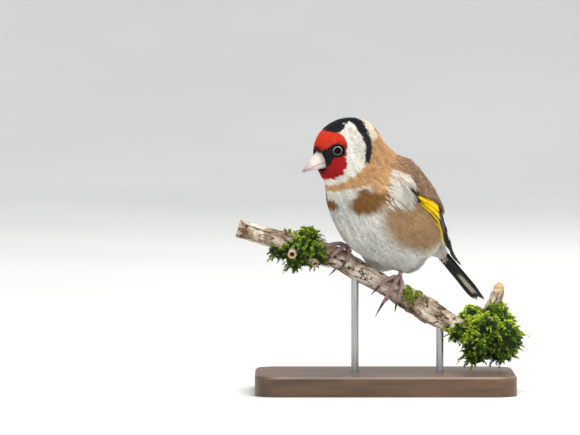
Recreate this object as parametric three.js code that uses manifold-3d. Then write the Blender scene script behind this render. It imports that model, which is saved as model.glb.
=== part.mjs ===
// A European goldfinch at life size, perched on a short cut length of mossy branch that a plain display stand
// holds up. Millimetres, +Z up, with the origin at the centre of the stand's underside. The bird faces -X and
// turns its breast towards -Y, so its left side shows from -Y. The branch runs along X and falls towards +X.
import * as THREE from "three";
import { mergeVertices } from "three/addons/utils/BufferGeometryUtils.js";
import Module from "manifold-3d";

const wasm = await Module();
wasm.setup();
const { Manifold, Mesh: SolidMesh } = wasm;

// Space kept between neighbouring pieces
const GAP = 0.3;

// Where the bird stands, and how it holds itself. Headings turn from -X towards -Y.
const BODY_CENTRE = [-2, 0, 73.6];
const BODY_HEADING = 50;
const HEAD_HEADING = 23;
const HEAD_PITCH = -20;
const HEAD_IN_BODY = [20, -1, 23.2];

// Half sizes of the head: forward, sideways, up
const HEAD_HALF = [12.7, 10.4, 11.4];
const BLEND = 2.2;
const BODY_ROWS = 32;
const BODY_AROUND = 28;

// The bill
const BILL_LENGTH = 10.2;
const BILL_BASE = [11.0, 0, 0.9];
const BILL_PITCH = -29.5;
const BILL_HALF_WIDTH = 3.7;
const CULMEN_HEIGHT = 3.7;
const GONYS_DEPTH = 4.5;
const GAPE_DROP = 1.9;
const BILL_ROOT = 3.2;

// The eyes
const EYE_RADIUS = 2.6;
const EYE_IN_HEAD = [6.5, 2.8];
const EYE_SINK = 1.9;
const LID_RADIUS = 1.95;

// The wings, folded: points of the left wing's middle line as forward, left, up from the body's centre, and
// at even steps along it how far the wing reaches below and above that line
const WING_LINE = [
  [8, 14.5, 15.0],
  [-3, 17.5, 8.0],
  [-14, 16.8, 0.4],
  [-25, 12.8, -8.6],
  [-36, 6.6, -16.9],
  [-48, 2.8, -24.2],
];
const WING_BELOW = [6.0, 6.6, 6.2, 5.4, 3.8, 0.7];
const WING_ABOVE = [10.0, 12.5, 11.5, 8.0, 3.6, 0.7];
const WING_ROLL_FRONT = 36;
const WING_ROLL_TIP = 22;
const WING_BOW_FRONT = 16;
const WING_BOW_TIP = 45;
// How far the right wing's tip lies above the left wing's
const RIGHT_TIP_RISE = 2.4;
const VANE_THICK = 0.55;

// The tail
const TAIL_ROOT = [-21, 0, -4.6];
const TAIL_SLOPE = 37.6;
const TAIL_LENGTH = 55;
const TAIL_FORK = 4.5;
const RECTRIX_PAIRS = 6;

// The perch: middle line and radius along it
const PERCH_LINE = [
  [-58.8, 65.6],
  [-49, 62.6],
  [-38, 59.6],
  [-22.4, 55],
  [-11.6, 49.2],
  [-0.4, 42.8],
  [9.2, 37.4],
  [16, 33.4],
  [25.6, 27.6],
  [34, 23.2],
  [42.8, 19.4],
];
const PERCH_RADII = [3.5, 3.6, 3.7, 4.3, 4.1, 3.8, 4.4, 4.8, 3.6, 3.4, 3.0];

// The feet: where each stands along the branch, as X
const LEFT_FOOT_X = 2.8;
const RIGHT_FOOT_X = -18.0;
const TOE_RADIUS = 0.95;
const TARSUS_RADIUS = 0.95;
const TARSUS_SINK = 2.6;
const TARSUS_WAY = [-0.5, 0.05, 0.87];

// The stand
const BASE_SIZE = [104, 60, 8];
const BASE_CORNER = 9;
const ROD_RADIUS = 1.5;
const ROD_XS = [-12, 22];
const ROD_SOCKET = 4;

const DEGREE = Math.PI / 180;
const mix = (a, b, t) => a + (b - a) * t;
const clamp = (x, low = 0, high = 1) => Math.min(high, Math.max(low, x));
const smooth = (low, high, x) => {
  const t = clamp((x - low) / (high - low));
  return t * t * (3 - 2 * t);
};
const vec = (p) => new THREE.Vector3(...p);

// A frame with forward, left and up axes. Its heading turns from -X towards -Y, and pitch lifts its nose.
function makeFrame(origin, heading, pitch) {
  const forward = new THREE.Vector3(
    -Math.cos(heading * DEGREE) * Math.cos(pitch * DEGREE),
    -Math.sin(heading * DEGREE) * Math.cos(pitch * DEGREE),
    Math.sin(pitch * DEGREE),
  );
  const left = new THREE.Vector3(Math.sin(heading * DEGREE), -Math.cos(heading * DEGREE), 0);
  const up = forward.clone().cross(left);
  const turn = (f, l, u) =>
    new THREE.Vector3().addScaledVector(forward, f).addScaledVector(left, l).addScaledVector(up, u);
  return { origin, forward, left, up, turn, at: (f, l, u) => turn(f, l, u).add(origin) };
}

const body = makeFrame(vec(BODY_CENTRE), BODY_HEADING, 0);
const head = makeFrame(body.at(...HEAD_IN_BODY), HEAD_HEADING, HEAD_PITCH);

// A closed surface through rings of points, with a pole at each end. Faces are turned outwards. On a flat
// piece, whose ring runs over its top and back under it, both faces are split along the same diagonals.
function closedSurface(rings, firstPole, lastPole, flat = false) {
  const around = rings[0].length;
  const points = [firstPole, ...rings.flat(), lastPole];
  const last = points.length - 1;
  const index = [];
  for (let j = 0; j < around; j++) {
    const next = (j + 1) % around;
    index.push(0, 1 + next, 1 + j);
    for (let i = 0; i + 1 < rings.length; i++) {
      const a = 1 + i * around;
      const b = a + around;
      if (flat && j >= around / 2) index.push(a + j, a + next, b + next, a + j, b + next, b + j);
      else index.push(a + j, a + next, b + j, a + next, b + next, b + j);
    }
    index.push(last, last - around + j, last - around + next);
  }
  let volume = 0;
  for (let i = 0; i < index.length; i += 3) {
    const [a, b, c] = [points[index[i]], points[index[i + 1]], points[index[i + 2]]];
    volume += a.dot(b.clone().cross(c));
  }
  if (volume < 0) index.reverse();
  const geometry = new THREE.BufferGeometry().setFromPoints(points);
  geometry.setIndex(index);
  return geometry;
}

const middleOf = (ring) =>
  ring.reduce((sum, p) => sum.add(p), new THREE.Vector3()).divideScalar(ring.length);

// A solid for cutting and joining, from any closed geometry
function solid(geometry) {
  const bare = geometry.clone();
  bare.deleteAttribute("normal");
  bare.deleteAttribute("uv");
  const merged = mergeVertices(bare, 1e-4);
  return new Manifold(
    new SolidMesh({
      numProp: 3,
      vertProperties: new Float32Array(merged.attributes.position.array),
      triVerts: new Uint32Array(merged.index.array),
    }),
  );
}

const joined = (solids) => solids.reduce((whole, next) => whole.add(next));
const largest = (whole) => whole.decompose().sort((a, b) => b.volume() - a.volume())[0];

// A mesh with its name and finish, from a solid
function piece(name, made, finish) {
  const data = largest(made).getMesh();
  const geometry = new THREE.BufferGeometry();
  geometry.setAttribute("position", new THREE.BufferAttribute(new Float32Array(data.vertProperties), 3));
  geometry.setIndex(new THREE.BufferAttribute(new Uint32Array(data.triVerts), 1));
  geometry.computeVertexNormals();
  const mesh = new THREE.Mesh(geometry, finish);
  mesh.name = name;
  return mesh;
}

// A round rod of changing radius through a list of points, carried with the least twist
function taperedRod(points, radii, sides) {
  const across = new THREE.Vector3();
  const rings = points.map((p, i) => {
    const way = points[Math.min(i + 1, points.length - 1)].clone().sub(points[Math.max(i - 1, 0)]).normalize();
    if (i === 0) across.set(0.31, 0.95, 0.07).cross(way);
    across.addScaledVector(way, -across.dot(way)).normalize();
    const other = way.clone().cross(across);
    return Array.from({ length: sides }, (_, j) => {
      const turn = (j / sides) * 2 * Math.PI;
      return p
        .clone()
        .addScaledVector(across, radii[i] * Math.cos(turn))
        .addScaledVector(other, radii[i] * Math.sin(turn));
    });
  });
  return closedSurface(rings, points[0], points[points.length - 1]);
}

const curveThrough = (points) => new THREE.CatmullRomCurve3(points, false, "catmullrom", 0.5);

// The body's form: soft ellipsoids that melt into one another. Each is centre and half sizes, forward, left
// and up in its frame, and the pitch of its long axis.
function ellipsoid(frame, centre, half, pitch = 0) {
  const c = Math.cos(pitch * DEGREE);
  const s = Math.sin(pitch * DEGREE);
  return { centre: frame.at(...centre), axes: [frame.turn(c, 0, s), frame.left, frame.turn(-s, 0, c)], half };
}

const flesh = [
  ellipsoid(body, [-7, 0, -5], [20, 18, 16.5], 35),
  ellipsoid(body, [7.5, 0, 4.5], [16, 16.5, 15.0], 50),
  ellipsoid(body, [5, 0, -6.5], [13, 13, 10.5], 42),
  ellipsoid(body, [-17, 0, -10.5], [13, 13.0, 10.5], 28),
  ellipsoid(body, [-29, 0, -11.5], [15, 5.2, 3.8], 38),
  ellipsoid(body, [-4.5, 0, 7.0], [17, 13, 10.5], 38),
  ellipsoid(body, [5.5, -0.5, 15], [13, 11.5, 10], 38),
  ellipsoid(body, [13.5, -0.5, 15], [12, 12, 12.5], 60),
  ellipsoid(body, [-8, 6.5, -19], [6, 5, 5]),
  ellipsoid(body, [-8, -6.5, -19], [6, 5, 5]),
  ellipsoid(head, [0, 0, 0], HEAD_HALF),
  ellipsoid(head, [-1.5, 0, 3.2], [10.5, 10.6, 7.6]),
  ellipsoid(head, [-1, 5, -4], [9, 5.5, 6.5]),
  ellipsoid(head, [-1, -5, -4], [9, 5.5, 6.5]),
];

// Distance from a point to the body's surface, less than nothing inside
function bodyDistance(p) {
  let sum = 0;
  for (const { centre, axes, half } of flesh) {
    const from = p.clone().sub(centre);
    let scaled = 0;
    let slope = 0;
    axes.forEach((axis, k) => {
      const share = from.dot(axis) / half[k];
      scaled += share * share;
      slope += (share / half[k]) ** 2;
    });
    const away = Math.sqrt(scaled);
    const distance = (away * (away - 1)) / Math.max(Math.sqrt(slope), 1e-6);
    sum += Math.exp(-distance / BLEND);
  }
  return -BLEND * Math.log(sum);
}

// The direction straight out of the body at a point
function outOfBody(p) {
  const step = 0.05;
  const slope = new THREE.Vector3();
  for (const axis of ["x", "y", "z"]) {
    const low = p.clone();
    const high = p.clone();
    low[axis] -= step;
    high[axis] += step;
    slope[axis] = bodyDistance(high) - bodyDistance(low);
  }
  return slope.normalize();
}

// The body's middle line, from inside the tail coverts up to the middle of the head
const SPINE_START = [-37, 0, -17.2];
const spine = new THREE.CubicBezierCurve3(
  body.at(...SPINE_START),
  body.at(-9, 0, -3.5),
  head.at(0, 0, -17),
  head.origin.clone(),
);
const REAR_CAP = 0.08;
const HEAD_CAP = 0.72;

// The body's surface: v runs from the tail coverts to the crown, and turn runs round it from its left side
// over its back. A ray leaves the spine, or fans out at either end of it, and meets the surface.
function bodySurface(v, turn, lift = 0) {
  const along = clamp((v - REAR_CAP) / (HEAD_CAP - REAR_CAP));
  const origin = spine.getPoint(along);
  const forward = spine.getTangent(along);
  const side = body.left.clone().lerp(head.left, smooth(0.45, 0.95, along));
  side.addScaledVector(forward, -side.dot(forward)).normalize();
  const back = forward.clone().cross(side);
  const lean = v < REAR_CAP ? (v / REAR_CAP - 1) * 90 : clamp((v - HEAD_CAP) / (1 - HEAD_CAP)) * 90;
  const way = side
    .multiplyScalar(Math.cos(turn))
    .addScaledVector(back, Math.sin(turn))
    .multiplyScalar(Math.cos(lean * DEGREE))
    .addScaledVector(forward, Math.sin(lean * DEGREE));
  let inside = 0;
  let outside = 34;
  for (let k = 0; k < 20; k++) {
    const middle = (inside + outside) / 2;
    if (bodyDistance(origin.clone().addScaledVector(way, middle)) < lift) inside = middle;
    else outside = middle;
  }
  return origin.addScaledVector(way, inside);
}

// The whole body as one closed solid, swollen by lift
function wholeBody(lift, rows, around) {
  const rings = [];
  for (let i = 1; i < rows; i++) {
    const ring = [];
    for (let j = 0; j < around; j++) ring.push(bodySurface(i / rows, (j / around) * 2 * Math.PI, lift));
    rings.push(ring);
  }
  return solid(closedSurface(rings, bodySurface(0, 0, lift), bodySurface(1, 0, lift)));
}

// A thin slice of space across the spine, which parts the body
function slice(along, tilt) {
  const sheet = new THREE.BoxGeometry(90, 90, GAP);
  const normal = spine.getTangent(along).applyAxisAngle(body.left, tilt * DEGREE);
  sheet.applyQuaternion(new THREE.Quaternion().setFromUnitVectors(new THREE.Vector3(0, 0, 1), normal));
  const middle = spine.getPoint(along);
  sheet.translate(middle.x, middle.y, middle.z);
  return solid(sheet);
}

// The bill, in a frame at its base. Heights of its ridge, mouth line and lower edge run to the tip.
const bill = makeFrame(head.at(...BILL_BASE), HEAD_HEADING, BILL_PITCH);
const toTip = (x) => clamp(1 - x / BILL_LENGTH, 0.02, 1.4);
const culmen = (x) => CULMEN_HEIGHT * toTip(x) ** 0.92 - 0.35 * (1 - toTip(x));
const gape = (x) => -GAPE_DROP * toTip(x) ** 1.3 - 0.3 * (1 - toTip(x));
const gonys = (x) => -GONYS_DEPTH * toTip(x + 1.2) ** 0.95 - 0.85 * (1 - toTip(x));
const billWidth = (x) => BILL_HALF_WIDTH * toTip(x) ** 0.85;

// Half of the bill: an arch from the mouth line to its outer edge
function mandible(length, edge, mouth, width) {
  const stations = 7;
  const rings = [];
  for (let i = 0; i <= stations; i++) {
    const x = mix(-BILL_ROOT, length, (i / stations) ** 0.85);
    const ring = [];
    for (let j = 0; j <= 8; j++) {
      const turn = (j / 8) * Math.PI;
      const height = mouth(x) + (edge(x) - mouth(x)) * Math.sin(turn) ** 0.9;
      ring.push(bill.at(x, width(x) * Math.cos(turn), height));
    }
    ring.push(bill.at(x, 0, mouth(x)));
    rings.push(ring);
  }
  return solid(closedSurface(rings, middleOf(rings[0]), middleOf(rings[stations])));
}

// The socket that the whole bill sits in
function billSocket() {
  const around = 12;
  const rings = [-BILL_ROOT - GAP, -0.5, 3].map((x) => {
    const [top, bottom] = [culmen(x) + GAP - gape(x), gonys(x) - GAP - gape(x)];
    return Array.from({ length: around }, (_, j) => {
      const turn = (j / around) * 2 * Math.PI;
      const reach = Math.abs(Math.sin(turn)) ** 0.9 * 1.03;
      const height = gape(x) + (Math.sin(turn) > 0 ? top : bottom) * reach;
      return bill.at(x, (billWidth(x) + GAP + 0.12) * Math.cos(turn), height);
    });
  });
  return solid(closedSurface(rings, middleOf(rings[0]), middleOf(rings[2])));
}

function ball(centre, radius, detail) {
  const geometry = new THREE.IcosahedronGeometry(radius, detail);
  geometry.translate(centre.x, centre.y, centre.z);
  return solid(geometry);
}

// Where an eye meets the head, for side 1 left or -1 right
function eyeSeat(side) {
  let out = 4;
  while (bodyDistance(head.at(EYE_IN_HEAD[0], side * out, EYE_IN_HEAD[1])) < 0) out += 0.05;
  const surface = head.at(EYE_IN_HEAD[0], side * out, EYE_IN_HEAD[1]);
  const outward = outOfBody(surface);
  return { surface, outward, centre: surface.clone().addScaledVector(outward, -EYE_SINK) };
}

function eyeBall(seat, radius, around) {
  const geometry = new THREE.SphereGeometry(radius, around, Math.ceil(around * 0.6));
  geometry.rotateX(Math.PI / 2);
  geometry.applyQuaternion(new THREE.Quaternion().setFromUnitVectors(new THREE.Vector3(0, 0, 1), seat.outward));
  geometry.translate(seat.centre.x, seat.centre.y, seat.centre.z);
  return solid(geometry);
}

// A low dome on the head, whose rim stays round the eye once the socket is cut into it
function lidRing(seat) {
  const around = 13;
  const heights = [[LID_RADIUS + 0.5, -0.9], [LID_RADIUS + 0.42, -0.1], [LID_RADIUS - 0.2, 0.42]];
  const turn = new THREE.Quaternion().setFromUnitVectors(new THREE.Vector3(0, 0, 1), seat.outward);
  const rings = heights.map(([radius, height]) =>
    Array.from({ length: around }, (_, j) => {
      const angle = (j / around) * 2 * Math.PI;
      const flat = new THREE.Vector3(radius * Math.cos(angle), radius * Math.sin(angle), height);
      return flat.applyQuaternion(turn).add(seat.surface);
    }),
  );
  return solid(closedSurface(rings, middleOf(rings[0]), middleOf(rings[2])));
}

// A value at even steps, read smoothly in between
function along(values, a) {
  const place = clamp(a) * (values.length - 1);
  const k = Math.min(Math.floor(place), values.length - 2);
  return mix(values[k], values[k + 1], smooth(0, 1, place - k));
}

// The wing's sheet: a runs 0 to 1 from the bend of the wing to its tip, b runs 0 to 1 from its lower edge up
// over the back, w is millimetres off that, and layer is the height above the sheet. Over the body the sheet
// lies along the feathers, and its front and lower edge are tucked in under those of the breast and flank.
const wingLine = curveThrough(WING_LINE.map(vec));
function wingSheet(side, a, b, w, layer) {
  const middle = wingLine.getPoint(clamp(a));
  const backward = wingLine.getTangent(clamp(a));
  const outward = new THREE.Vector3(0, 1, 0).addScaledVector(backward, -backward.y).normalize();
  const upward = outward.clone().cross(backward);
  const roll = mix(WING_ROLL_FRONT, WING_ROLL_TIP, a) * DEGREE;
  const normal = outward.clone().multiplyScalar(Math.cos(roll)).addScaledVector(upward, Math.sin(roll));
  const climb = outward.multiplyScalar(-Math.sin(roll)).addScaledVector(upward, Math.cos(roll));
  const across = mix(-along(WING_BELOW, a), along(WING_ABOVE, a), b) + w;
  const bow = mix(WING_BOW_FRONT, WING_BOW_TIP, a);
  const local = middle
    .addScaledVector(climb, across)
    .addScaledVector(normal, layer - (across * across) / (2 * bow))
    .addScaledVector(backward, (a - clamp(a)) * 70);
  const rise = side < 0 ? RIGHT_TIP_RISE * clamp(a) ** 2 : 0;
  const point = body.at(local.x, side * local.y, local.z + rise);
  const tuck = 3 * (1 - smooth(-0.04, 0.12, a)) + 2.2 * (1 - smooth(0, 0.16, b)) * (1 - smooth(0.55, 0.75, a));
  const clear = 0.6 + layer - tuck;
  const hold = 1 - smooth(0.45, 0.75, a);
  for (let k = 0; k < 4; k++) {
    const short = clear - bodyDistance(point);
    point.addScaledVector(outOfBody(point), short > 0 ? short : short * hold);
  }
  return point;
}

// A feather's outline: half width along its length, narrow at the root and rounded or pointed at the tip
function featherWidth(s, half, point) {
  const root = 0.45 + 0.55 * smooth(0, 0.3, s);
  const start = 1 - point;
  const tip = s < start ? 1 : Math.sqrt(Math.max(0.04, 1 - ((s - start) / point) ** 2));
  return half * root * tip;
}

// A flat feather as a closed solid. place(s, w) gives its middle surface, w in millimetres off its shaft.
function vane(place, half, point, stations, thick = VANE_THICK) {
  const rings = [];
  for (let i = 0; i <= stations; i++) {
    const s = (i / stations) ** 0.8;
    const width = featherWidth(s, half, point);
    const [low, high] = [place(s, -width), place(s, width)];
    const ahead = place(Math.min(s, 0.98) + 0.02, 0).sub(place(Math.min(s, 0.98) - 0.02, 0));
    const lift = ahead.cross(high.clone().sub(low)).setLength(thick / 2);
    rings.push([low.clone().add(lift), high.clone().add(lift), high.sub(lift), low.sub(lift)]);
  }
  return solid(closedSurface(rings, middleOf(rings[0]), middleOf(rings[stations]), true));
}

// One feather of the wing, from a root to a tip on the sheet, with its layer at each
function wingFeather(side, root, tip, layers, half, point, stations) {
  const place = (s, w) =>
    wingSheet(side, mix(root[0], tip[0], s), mix(root[1], tip[1], s), w, mix(layers[0], layers[1], s));
  return vane(place, half, point, stations);
}

// The wing's tiers. Each runs from the lower edge, k = 0, up to the back, k = 1.
function wingTiers(side) {
  const feathers = [];
  const tier = (count, describe) => {
    for (let i = 0; i < count; i++) feathers.push(wingFeather(side, ...describe(i / (count - 1))));
  };
  // Primaries, whose tips step back from the wing's point
  tier(6, (k) => [[0.4, mix(0.06, 0.24, k)], [mix(1.0, 0.77, k ** 0.8), mix(0.3, 0.58, k)],
    [0.4, 0.4 * k], 1.4, 0.35, 4]);
  // Secondaries
  tier(4, (k) => [[0.4, mix(0.32, 0.55, k)], [mix(0.74, 0.67, k), mix(0.48, 0.72, k)],
    [0.7, 0.6 + 0.3 * k], 1.6, 0.3, 3]);
  // Tertials, over the secondaries next to the back
  tier(3, (k) => [[0.36, mix(0.64, 0.86, k)], [mix(0.69, 0.54, k), mix(0.66, 0.9, k)],
    [1.0, 1.2], 2.5, 0.4, 3]);
  // Primary coverts
  tier(2, (k) => [[0.24, mix(0.07, 0.16, k)], [mix(0.48, 0.43, k), mix(0.08, 0.22, k)],
    [1.0, 1.0], 1.4, 0.4, 3]);
  // Greater coverts
  tier(6, (k) => [[0.24, mix(0.2, 0.82, k)], [mix(0.41, 0.37, k), mix(0.28, 0.86, k)],
    [1.3, 1.6], 1.45, 0.4, 2]);
  // Median coverts
  tier(5, (k) => [[0.14, mix(0.14, 0.8, k)], [mix(0.27, 0.25, k), mix(0.18, 0.84, k)],
    [1.4, 2.0], 1.6, 0.5, 2]);
  // Lesser coverts
  tier(3, (k) => [[0.03, mix(0.18, 0.7, k)], [mix(0.17, 0.15, k), mix(0.2, 0.74, k)],
    [1.1, 2.3], 2.6, 0.5, 3]);
  // Scapulars, from the shoulder over the wing's upper edge
  tier(3, (k) => [[mix(0.06, 0.26, k), 0.93], [mix(0.3, 0.5, k), mix(0.99, 0.95, k)],
    [1.0, 2.0], 2.8, 0.5, 3]);
  return feathers;
}

// The wing's own thickness, which the feathers' roots sink into
function wingCore(side) {
  const rows = 6;
  const columns = 4;
  const rings = [];
  for (let i = 0; i <= rows; i++) {
    const a = mix(-0.02, 0.6, i / rows);
    const top = [];
    const under = [];
    for (let j = 0; j <= columns; j++) {
      const b = mix(0.03, 0.94, j / columns);
      top.push(wingSheet(side, a, b, 0, 0.4 + 0.8 * Math.sin(Math.PI * b)));
      under.unshift(wingSheet(side, a, b, 0, -0.35));
    }
    rings.push([...top, ...under]);
  }
  return solid(closedSurface(rings, middleOf(rings[0]), middleOf(rings[rows]), true));
}

// The tail: overlapping feathers in pairs, the middle pair on top and the outer ones lower and longer
function tailFeather(pair, side) {
  const slope = TAIL_SLOPE * DEGREE;
  const length = TAIL_LENGTH - TAIL_FORK * (1 - pair / (RECTRIX_PAIRS - 1));
  const place = (s, w) => {
    const out = mix(0.2 + 0.05 * pair, 0.3 + 0.3 * pair, s);
    const drop = 0.22 * (pair - 2.5) + (side < 0 ? 0.11 : 0) + 0.03 * (out + w) ** 2;
    const back = s * length;
    return body.at(
      TAIL_ROOT[0] - back * Math.cos(slope) + drop * Math.sin(slope),
      TAIL_ROOT[1] + side * (out + w),
      TAIL_ROOT[2] - back * Math.sin(slope) - drop * Math.cos(slope),
    );
  };
  return vane(place, mix(2.1, 1.8, pair / 5), 0.12, 4, 0.5);
}

// The branch: its middle line, its radius with knots and ridges, and points in the section at any place
const perchCurve = curveThrough(PERCH_LINE.map(([x, z]) => new THREE.Vector3(x, 0, z)));
function perchFrame(s) {
  const along = perchCurve.getTangent(clamp(s));
  return { centre: perchCurve.getPoint(clamp(s)), along, top: new THREE.Vector3(-along.z, 0, along.x) };
}
function perchRadius(s, turn) {
  const place = clamp(s) * (PERCH_RADII.length - 1);
  const k = Math.min(Math.floor(place), PERCH_RADII.length - 2);
  const plain = mix(PERCH_RADII[k], PERCH_RADII[k + 1], smooth(0, 1, place - k));
  const rough = 0.02 + 0.05 * smooth(0.58, 0.66, s) * (1 - smooth(0.78, 0.84, s));
  const ridges = Math.sin(3 * turn + 9 * s) + 0.7 * Math.sin(5 * turn - 23 * s) + 0.8 * Math.sin(41 * s + turn);
  return plain * (1 + rough * ridges);
}
function perchPoint(s, turn, lift) {
  const { centre, top } = perchFrame(s);
  const reach = perchRadius(s, turn) + lift;
  return centre.addScaledVector(top, reach * Math.cos(turn)).add(new THREE.Vector3(0, -reach * Math.sin(turn), 0));
}
function perchBranch(lift) {
  const rows = 28;
  const sides = 12;
  const rings = [];
  for (let i = 0; i <= rows; i++) {
    rings.push(Array.from({ length: sides }, (_, j) => perchPoint(i / rows, (j / sides) * 2 * Math.PI, lift)));
  }
  return solid(closedSurface(rings, middleOf(rings[0]), middleOf(rings[rows])));
}

// Where the branch has a given X
function perchAt(x) {
  let low = 0;
  let high = 1;
  for (let k = 0; k < 24; k++) {
    const middle = (low + high) / 2;
    if (perchCurve.getPoint(middle).x < x) low = middle;
    else high = middle;
  }
  return low;
}

// A foot stands on the branch. Points are given as distance along the branch, towards -Y, and up from its axis.
function footFrame(x) {
  const { centre, along, top } = perchFrame(perchAt(x));
  return (a, front, up) => centre.clone().addScaledVector(along, a).addScaledVector(top, up).add(new THREE.Vector3(0, -front, 0));
}

// Each toe: its path over the branch, then its claw's path. The first point is the ball of the foot.
const LEFT_TOES = {
  inner: { toe: [[0, 0.6, 5.6], [-2.0, 3.7, 4.8], [-4.2, 5.7, 2.2], [-5.4, 6.1, -1.2]],
    claw: [[-5.8, 5.8, -2.9], [-6.2, 5.3, -4.6], [-6.4, 4.4, -6.0]] },
  middle: { toe: [[0, 0.6, 5.6], [-0.3, 4.0, 4.6], [-0.6, 6.1, 1.4], [-0.7, 6.2, -2.8], [-0.7, 5.7, -6.4]],
    claw: [[-0.7, 5.0, -8.4], [-0.7, 4.1, -10.6], [-0.6, 2.8, -12.6]] },
  outer: { toe: [[0, 0.6, 5.6], [1.9, 4.0, 4.5], [3.2, 6.0, 1.0], [4.0, 6.0, -3.2]],
    claw: [[4.4, 5.5, -4.8], [4.9, 4.7, -6.2], [5.3, 3.6, -7.4]] },
  hind: { toe: [[0, 0.2, 5.6], [0.8, -3.9, 4.5], [1.0, -5.9, 0.8], [0.8, -5.7, -2.2]],
    claw: [[0.5, -5.0, -4.6], [0.0, -3.8, -6.5], [-0.6, -2.0, -7.6]] },
};
const RIGHT_TOES = {
  inner: { toe: [[0, 0.4, 5.9], [1.6, 3.5, 5.0], [2.3, 5.5, 2.4], [2.2, 5.9, 0.4]],
    claw: [[2.1, 5.8, -1.0], [1.8, 5.4, -2.4], [1.2, 5.0, -3.7]] },
  middle: { toe: [[0, 0.4, 5.9], [-1.6, 3.8, 5.0], [-3.0, 5.8, 2.2], [-4.0, 6.1, -0.6]],
    claw: [[-4.6, 5.8, -2.3], [-5.4, 5.2, -4.0], [-6.2, 4.0, -5.4]] },
  outer: { toe: [[0, 0.4, 5.9], [-3.0, 2.2, 5.7], [-5.9, 4.4, 4.0], [-7.6, 5.6, 1.8]],
    claw: [[-8.5, 5.9, 0.2], [-9.4, 5.7, -1.4], [-10.0, 5.1, -2.8]] },
  hind: { toe: [[0, 0.2, 5.9], [0.6, -3.9, 4.8], [0.8, -6.1, 1.2], [0.6, -5.9, -2.0]],
    claw: [[0.3, -5.2, -4.4], [-0.2, -4.0, -6.4], [-0.8, -2.2, -7.7]] },
};
const TOE_END = 0.74;
const CLAW_TIP = 0.26;

function spread(points, count) {
  const line = curveThrough(points);
  return Array.from({ length: count + 1 }, (_, i) => line.getPoint(i / count));
}

// A toe with a swelling at each joint
function toeRod(place, path, swell) {
  const steps = 2 * (path.toe.length - 1);
  const points = spread(path.toe.map((p) => place(...p)), steps);
  const radii = points.map((_, i) => {
    const s = i / steps;
    const joints = 0.06 * Math.cos(2 * Math.PI * s * (path.toe.length - 1));
    return TOE_RADIUS * (mix(1.02, TOE_END, s) + joints) * (i === steps ? 0.9 : 1) + swell;
  });
  return solid(taperedRod(points, radii, 7));
}

// A claw starts just past its toe's end and curves to a point
function clawRod(place, path, swell) {
  const end = place(...path.toe[path.toe.length - 1]);
  const claw = path.claw.map((p) => place(...p));
  const start = end.clone().addScaledVector(claw[0].clone().sub(end).normalize(), GAP + 0.02);
  const points = spread([start, ...claw], 6);
  const radii = points.map((_, i) => mix(0.66, CLAW_TIP, (i / 6) ** 0.8) + swell);
  return solid(taperedRod(points, radii, 7));
}

// The bare leg, from the ball of the foot back and up into the body's feathers
function tarsus(place, swell) {
  const start = place(0, 0, 6.6);
  const way = body.turn(...TARSUS_WAY).normalize();
  let length = 0;
  while (bodyDistance(start.clone().addScaledVector(way, length)) > -TARSUS_SINK && length < 14) length += 0.1;
  const steps = 6;
  const points = Array.from({ length: steps + 1 }, (_, i) => start.clone().addScaledVector(way, (length * i) / steps));
  const radii = points.map((_, i) => TARSUS_RADIUS * (i === 0 ? 1.1 : mix(1.0, 1.12, i / steps)) + swell);
  return solid(taperedRod(points, radii, 10));
}

function footBall(place, up, swell) {
  const at = place(0, 0.5, up);
  const geometry = new THREE.SphereGeometry(1.5 + swell, 12, 9);
  geometry.scale(1, 1, 0.62);
  geometry.translate(at.x, at.y, at.z);
  return solid(geometry);
}

function footSolid(place, toes, swell) {
  const rods = Object.values(toes).map((path) => toeRod(place, path, swell));
  return joined([footBall(place, toes.inner.toe[0][2], swell), ...rods]);
}

// Moss: rounded clumps set close on a cushion round the branch
function mossCushion(centre, half, clumps, size) {
  const core = new THREE.IcosahedronGeometry(0.85, 1);
  core.scale(...half);
  core.translate(...centre);
  const lumps = [];
  for (let i = 0; i < clumps; i++) {
    const height = 1 - (2 * (i + 0.5)) / clumps;
    const turn = i * 2.39996;
    const flat = Math.sqrt(1 - height * height);
    const reach = 0.86 + 0.1 * Math.sin(i * 5.1);
    const at = [flat * Math.cos(turn), flat * Math.sin(turn), height].map((x, k) => centre[k] + x * half[k] * reach);
    lumps.push(ball(vec(at), size * (1 + 0.25 * Math.sin(i * 2.7)), 1));
  }
  return joined([solid(core), ...lumps]);
}

const MOSS_LEFT = { centre: [-34.4, -0.5, 57], half: [9, 6.6, 6.2], clumps: 8, size: 4.0 };
const MOSS_END = { centre: [40.2, -0.5, 23.2], half: [11, 9.5, 9.8], clumps: 10, size: 5.4 };

// The broken stub at the branch's lower end, with a torn tip
function brokenStub(swell) {
  const line = [[40.6, 26.5], [42.6, 33], [44.9, 38.6], [46.2, 43.8]].map(([x, z]) => new THREE.Vector3(x, 0.4, z));
  const points = spread(line, 7);
  const radii = points.map((_, i) => mix(3.0, 2.3, i / 7) * (i > 6 ? 0.45 : 1) + swell);
  return solid(taperedRod(points, radii, 12));
}

// A sawn twig end that looks out through the moss
function twigEnd(from, to, radius, swell) {
  const points = [from, vec(from.toArray()).lerp(to, 0.5), to];
  return solid(taperedRod(points, points.map(() => radius + swell), 12));
}
const TWIGS = [
  { from: [-36.4, -2.0, 57.6], to: [-37.2, -9.4, 55.4], radius: 1.7 },
  { from: [-32.6, -1.5, 56.2], to: [-27.9, -7.6, 51.6], radius: 1.6 },
];

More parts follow.
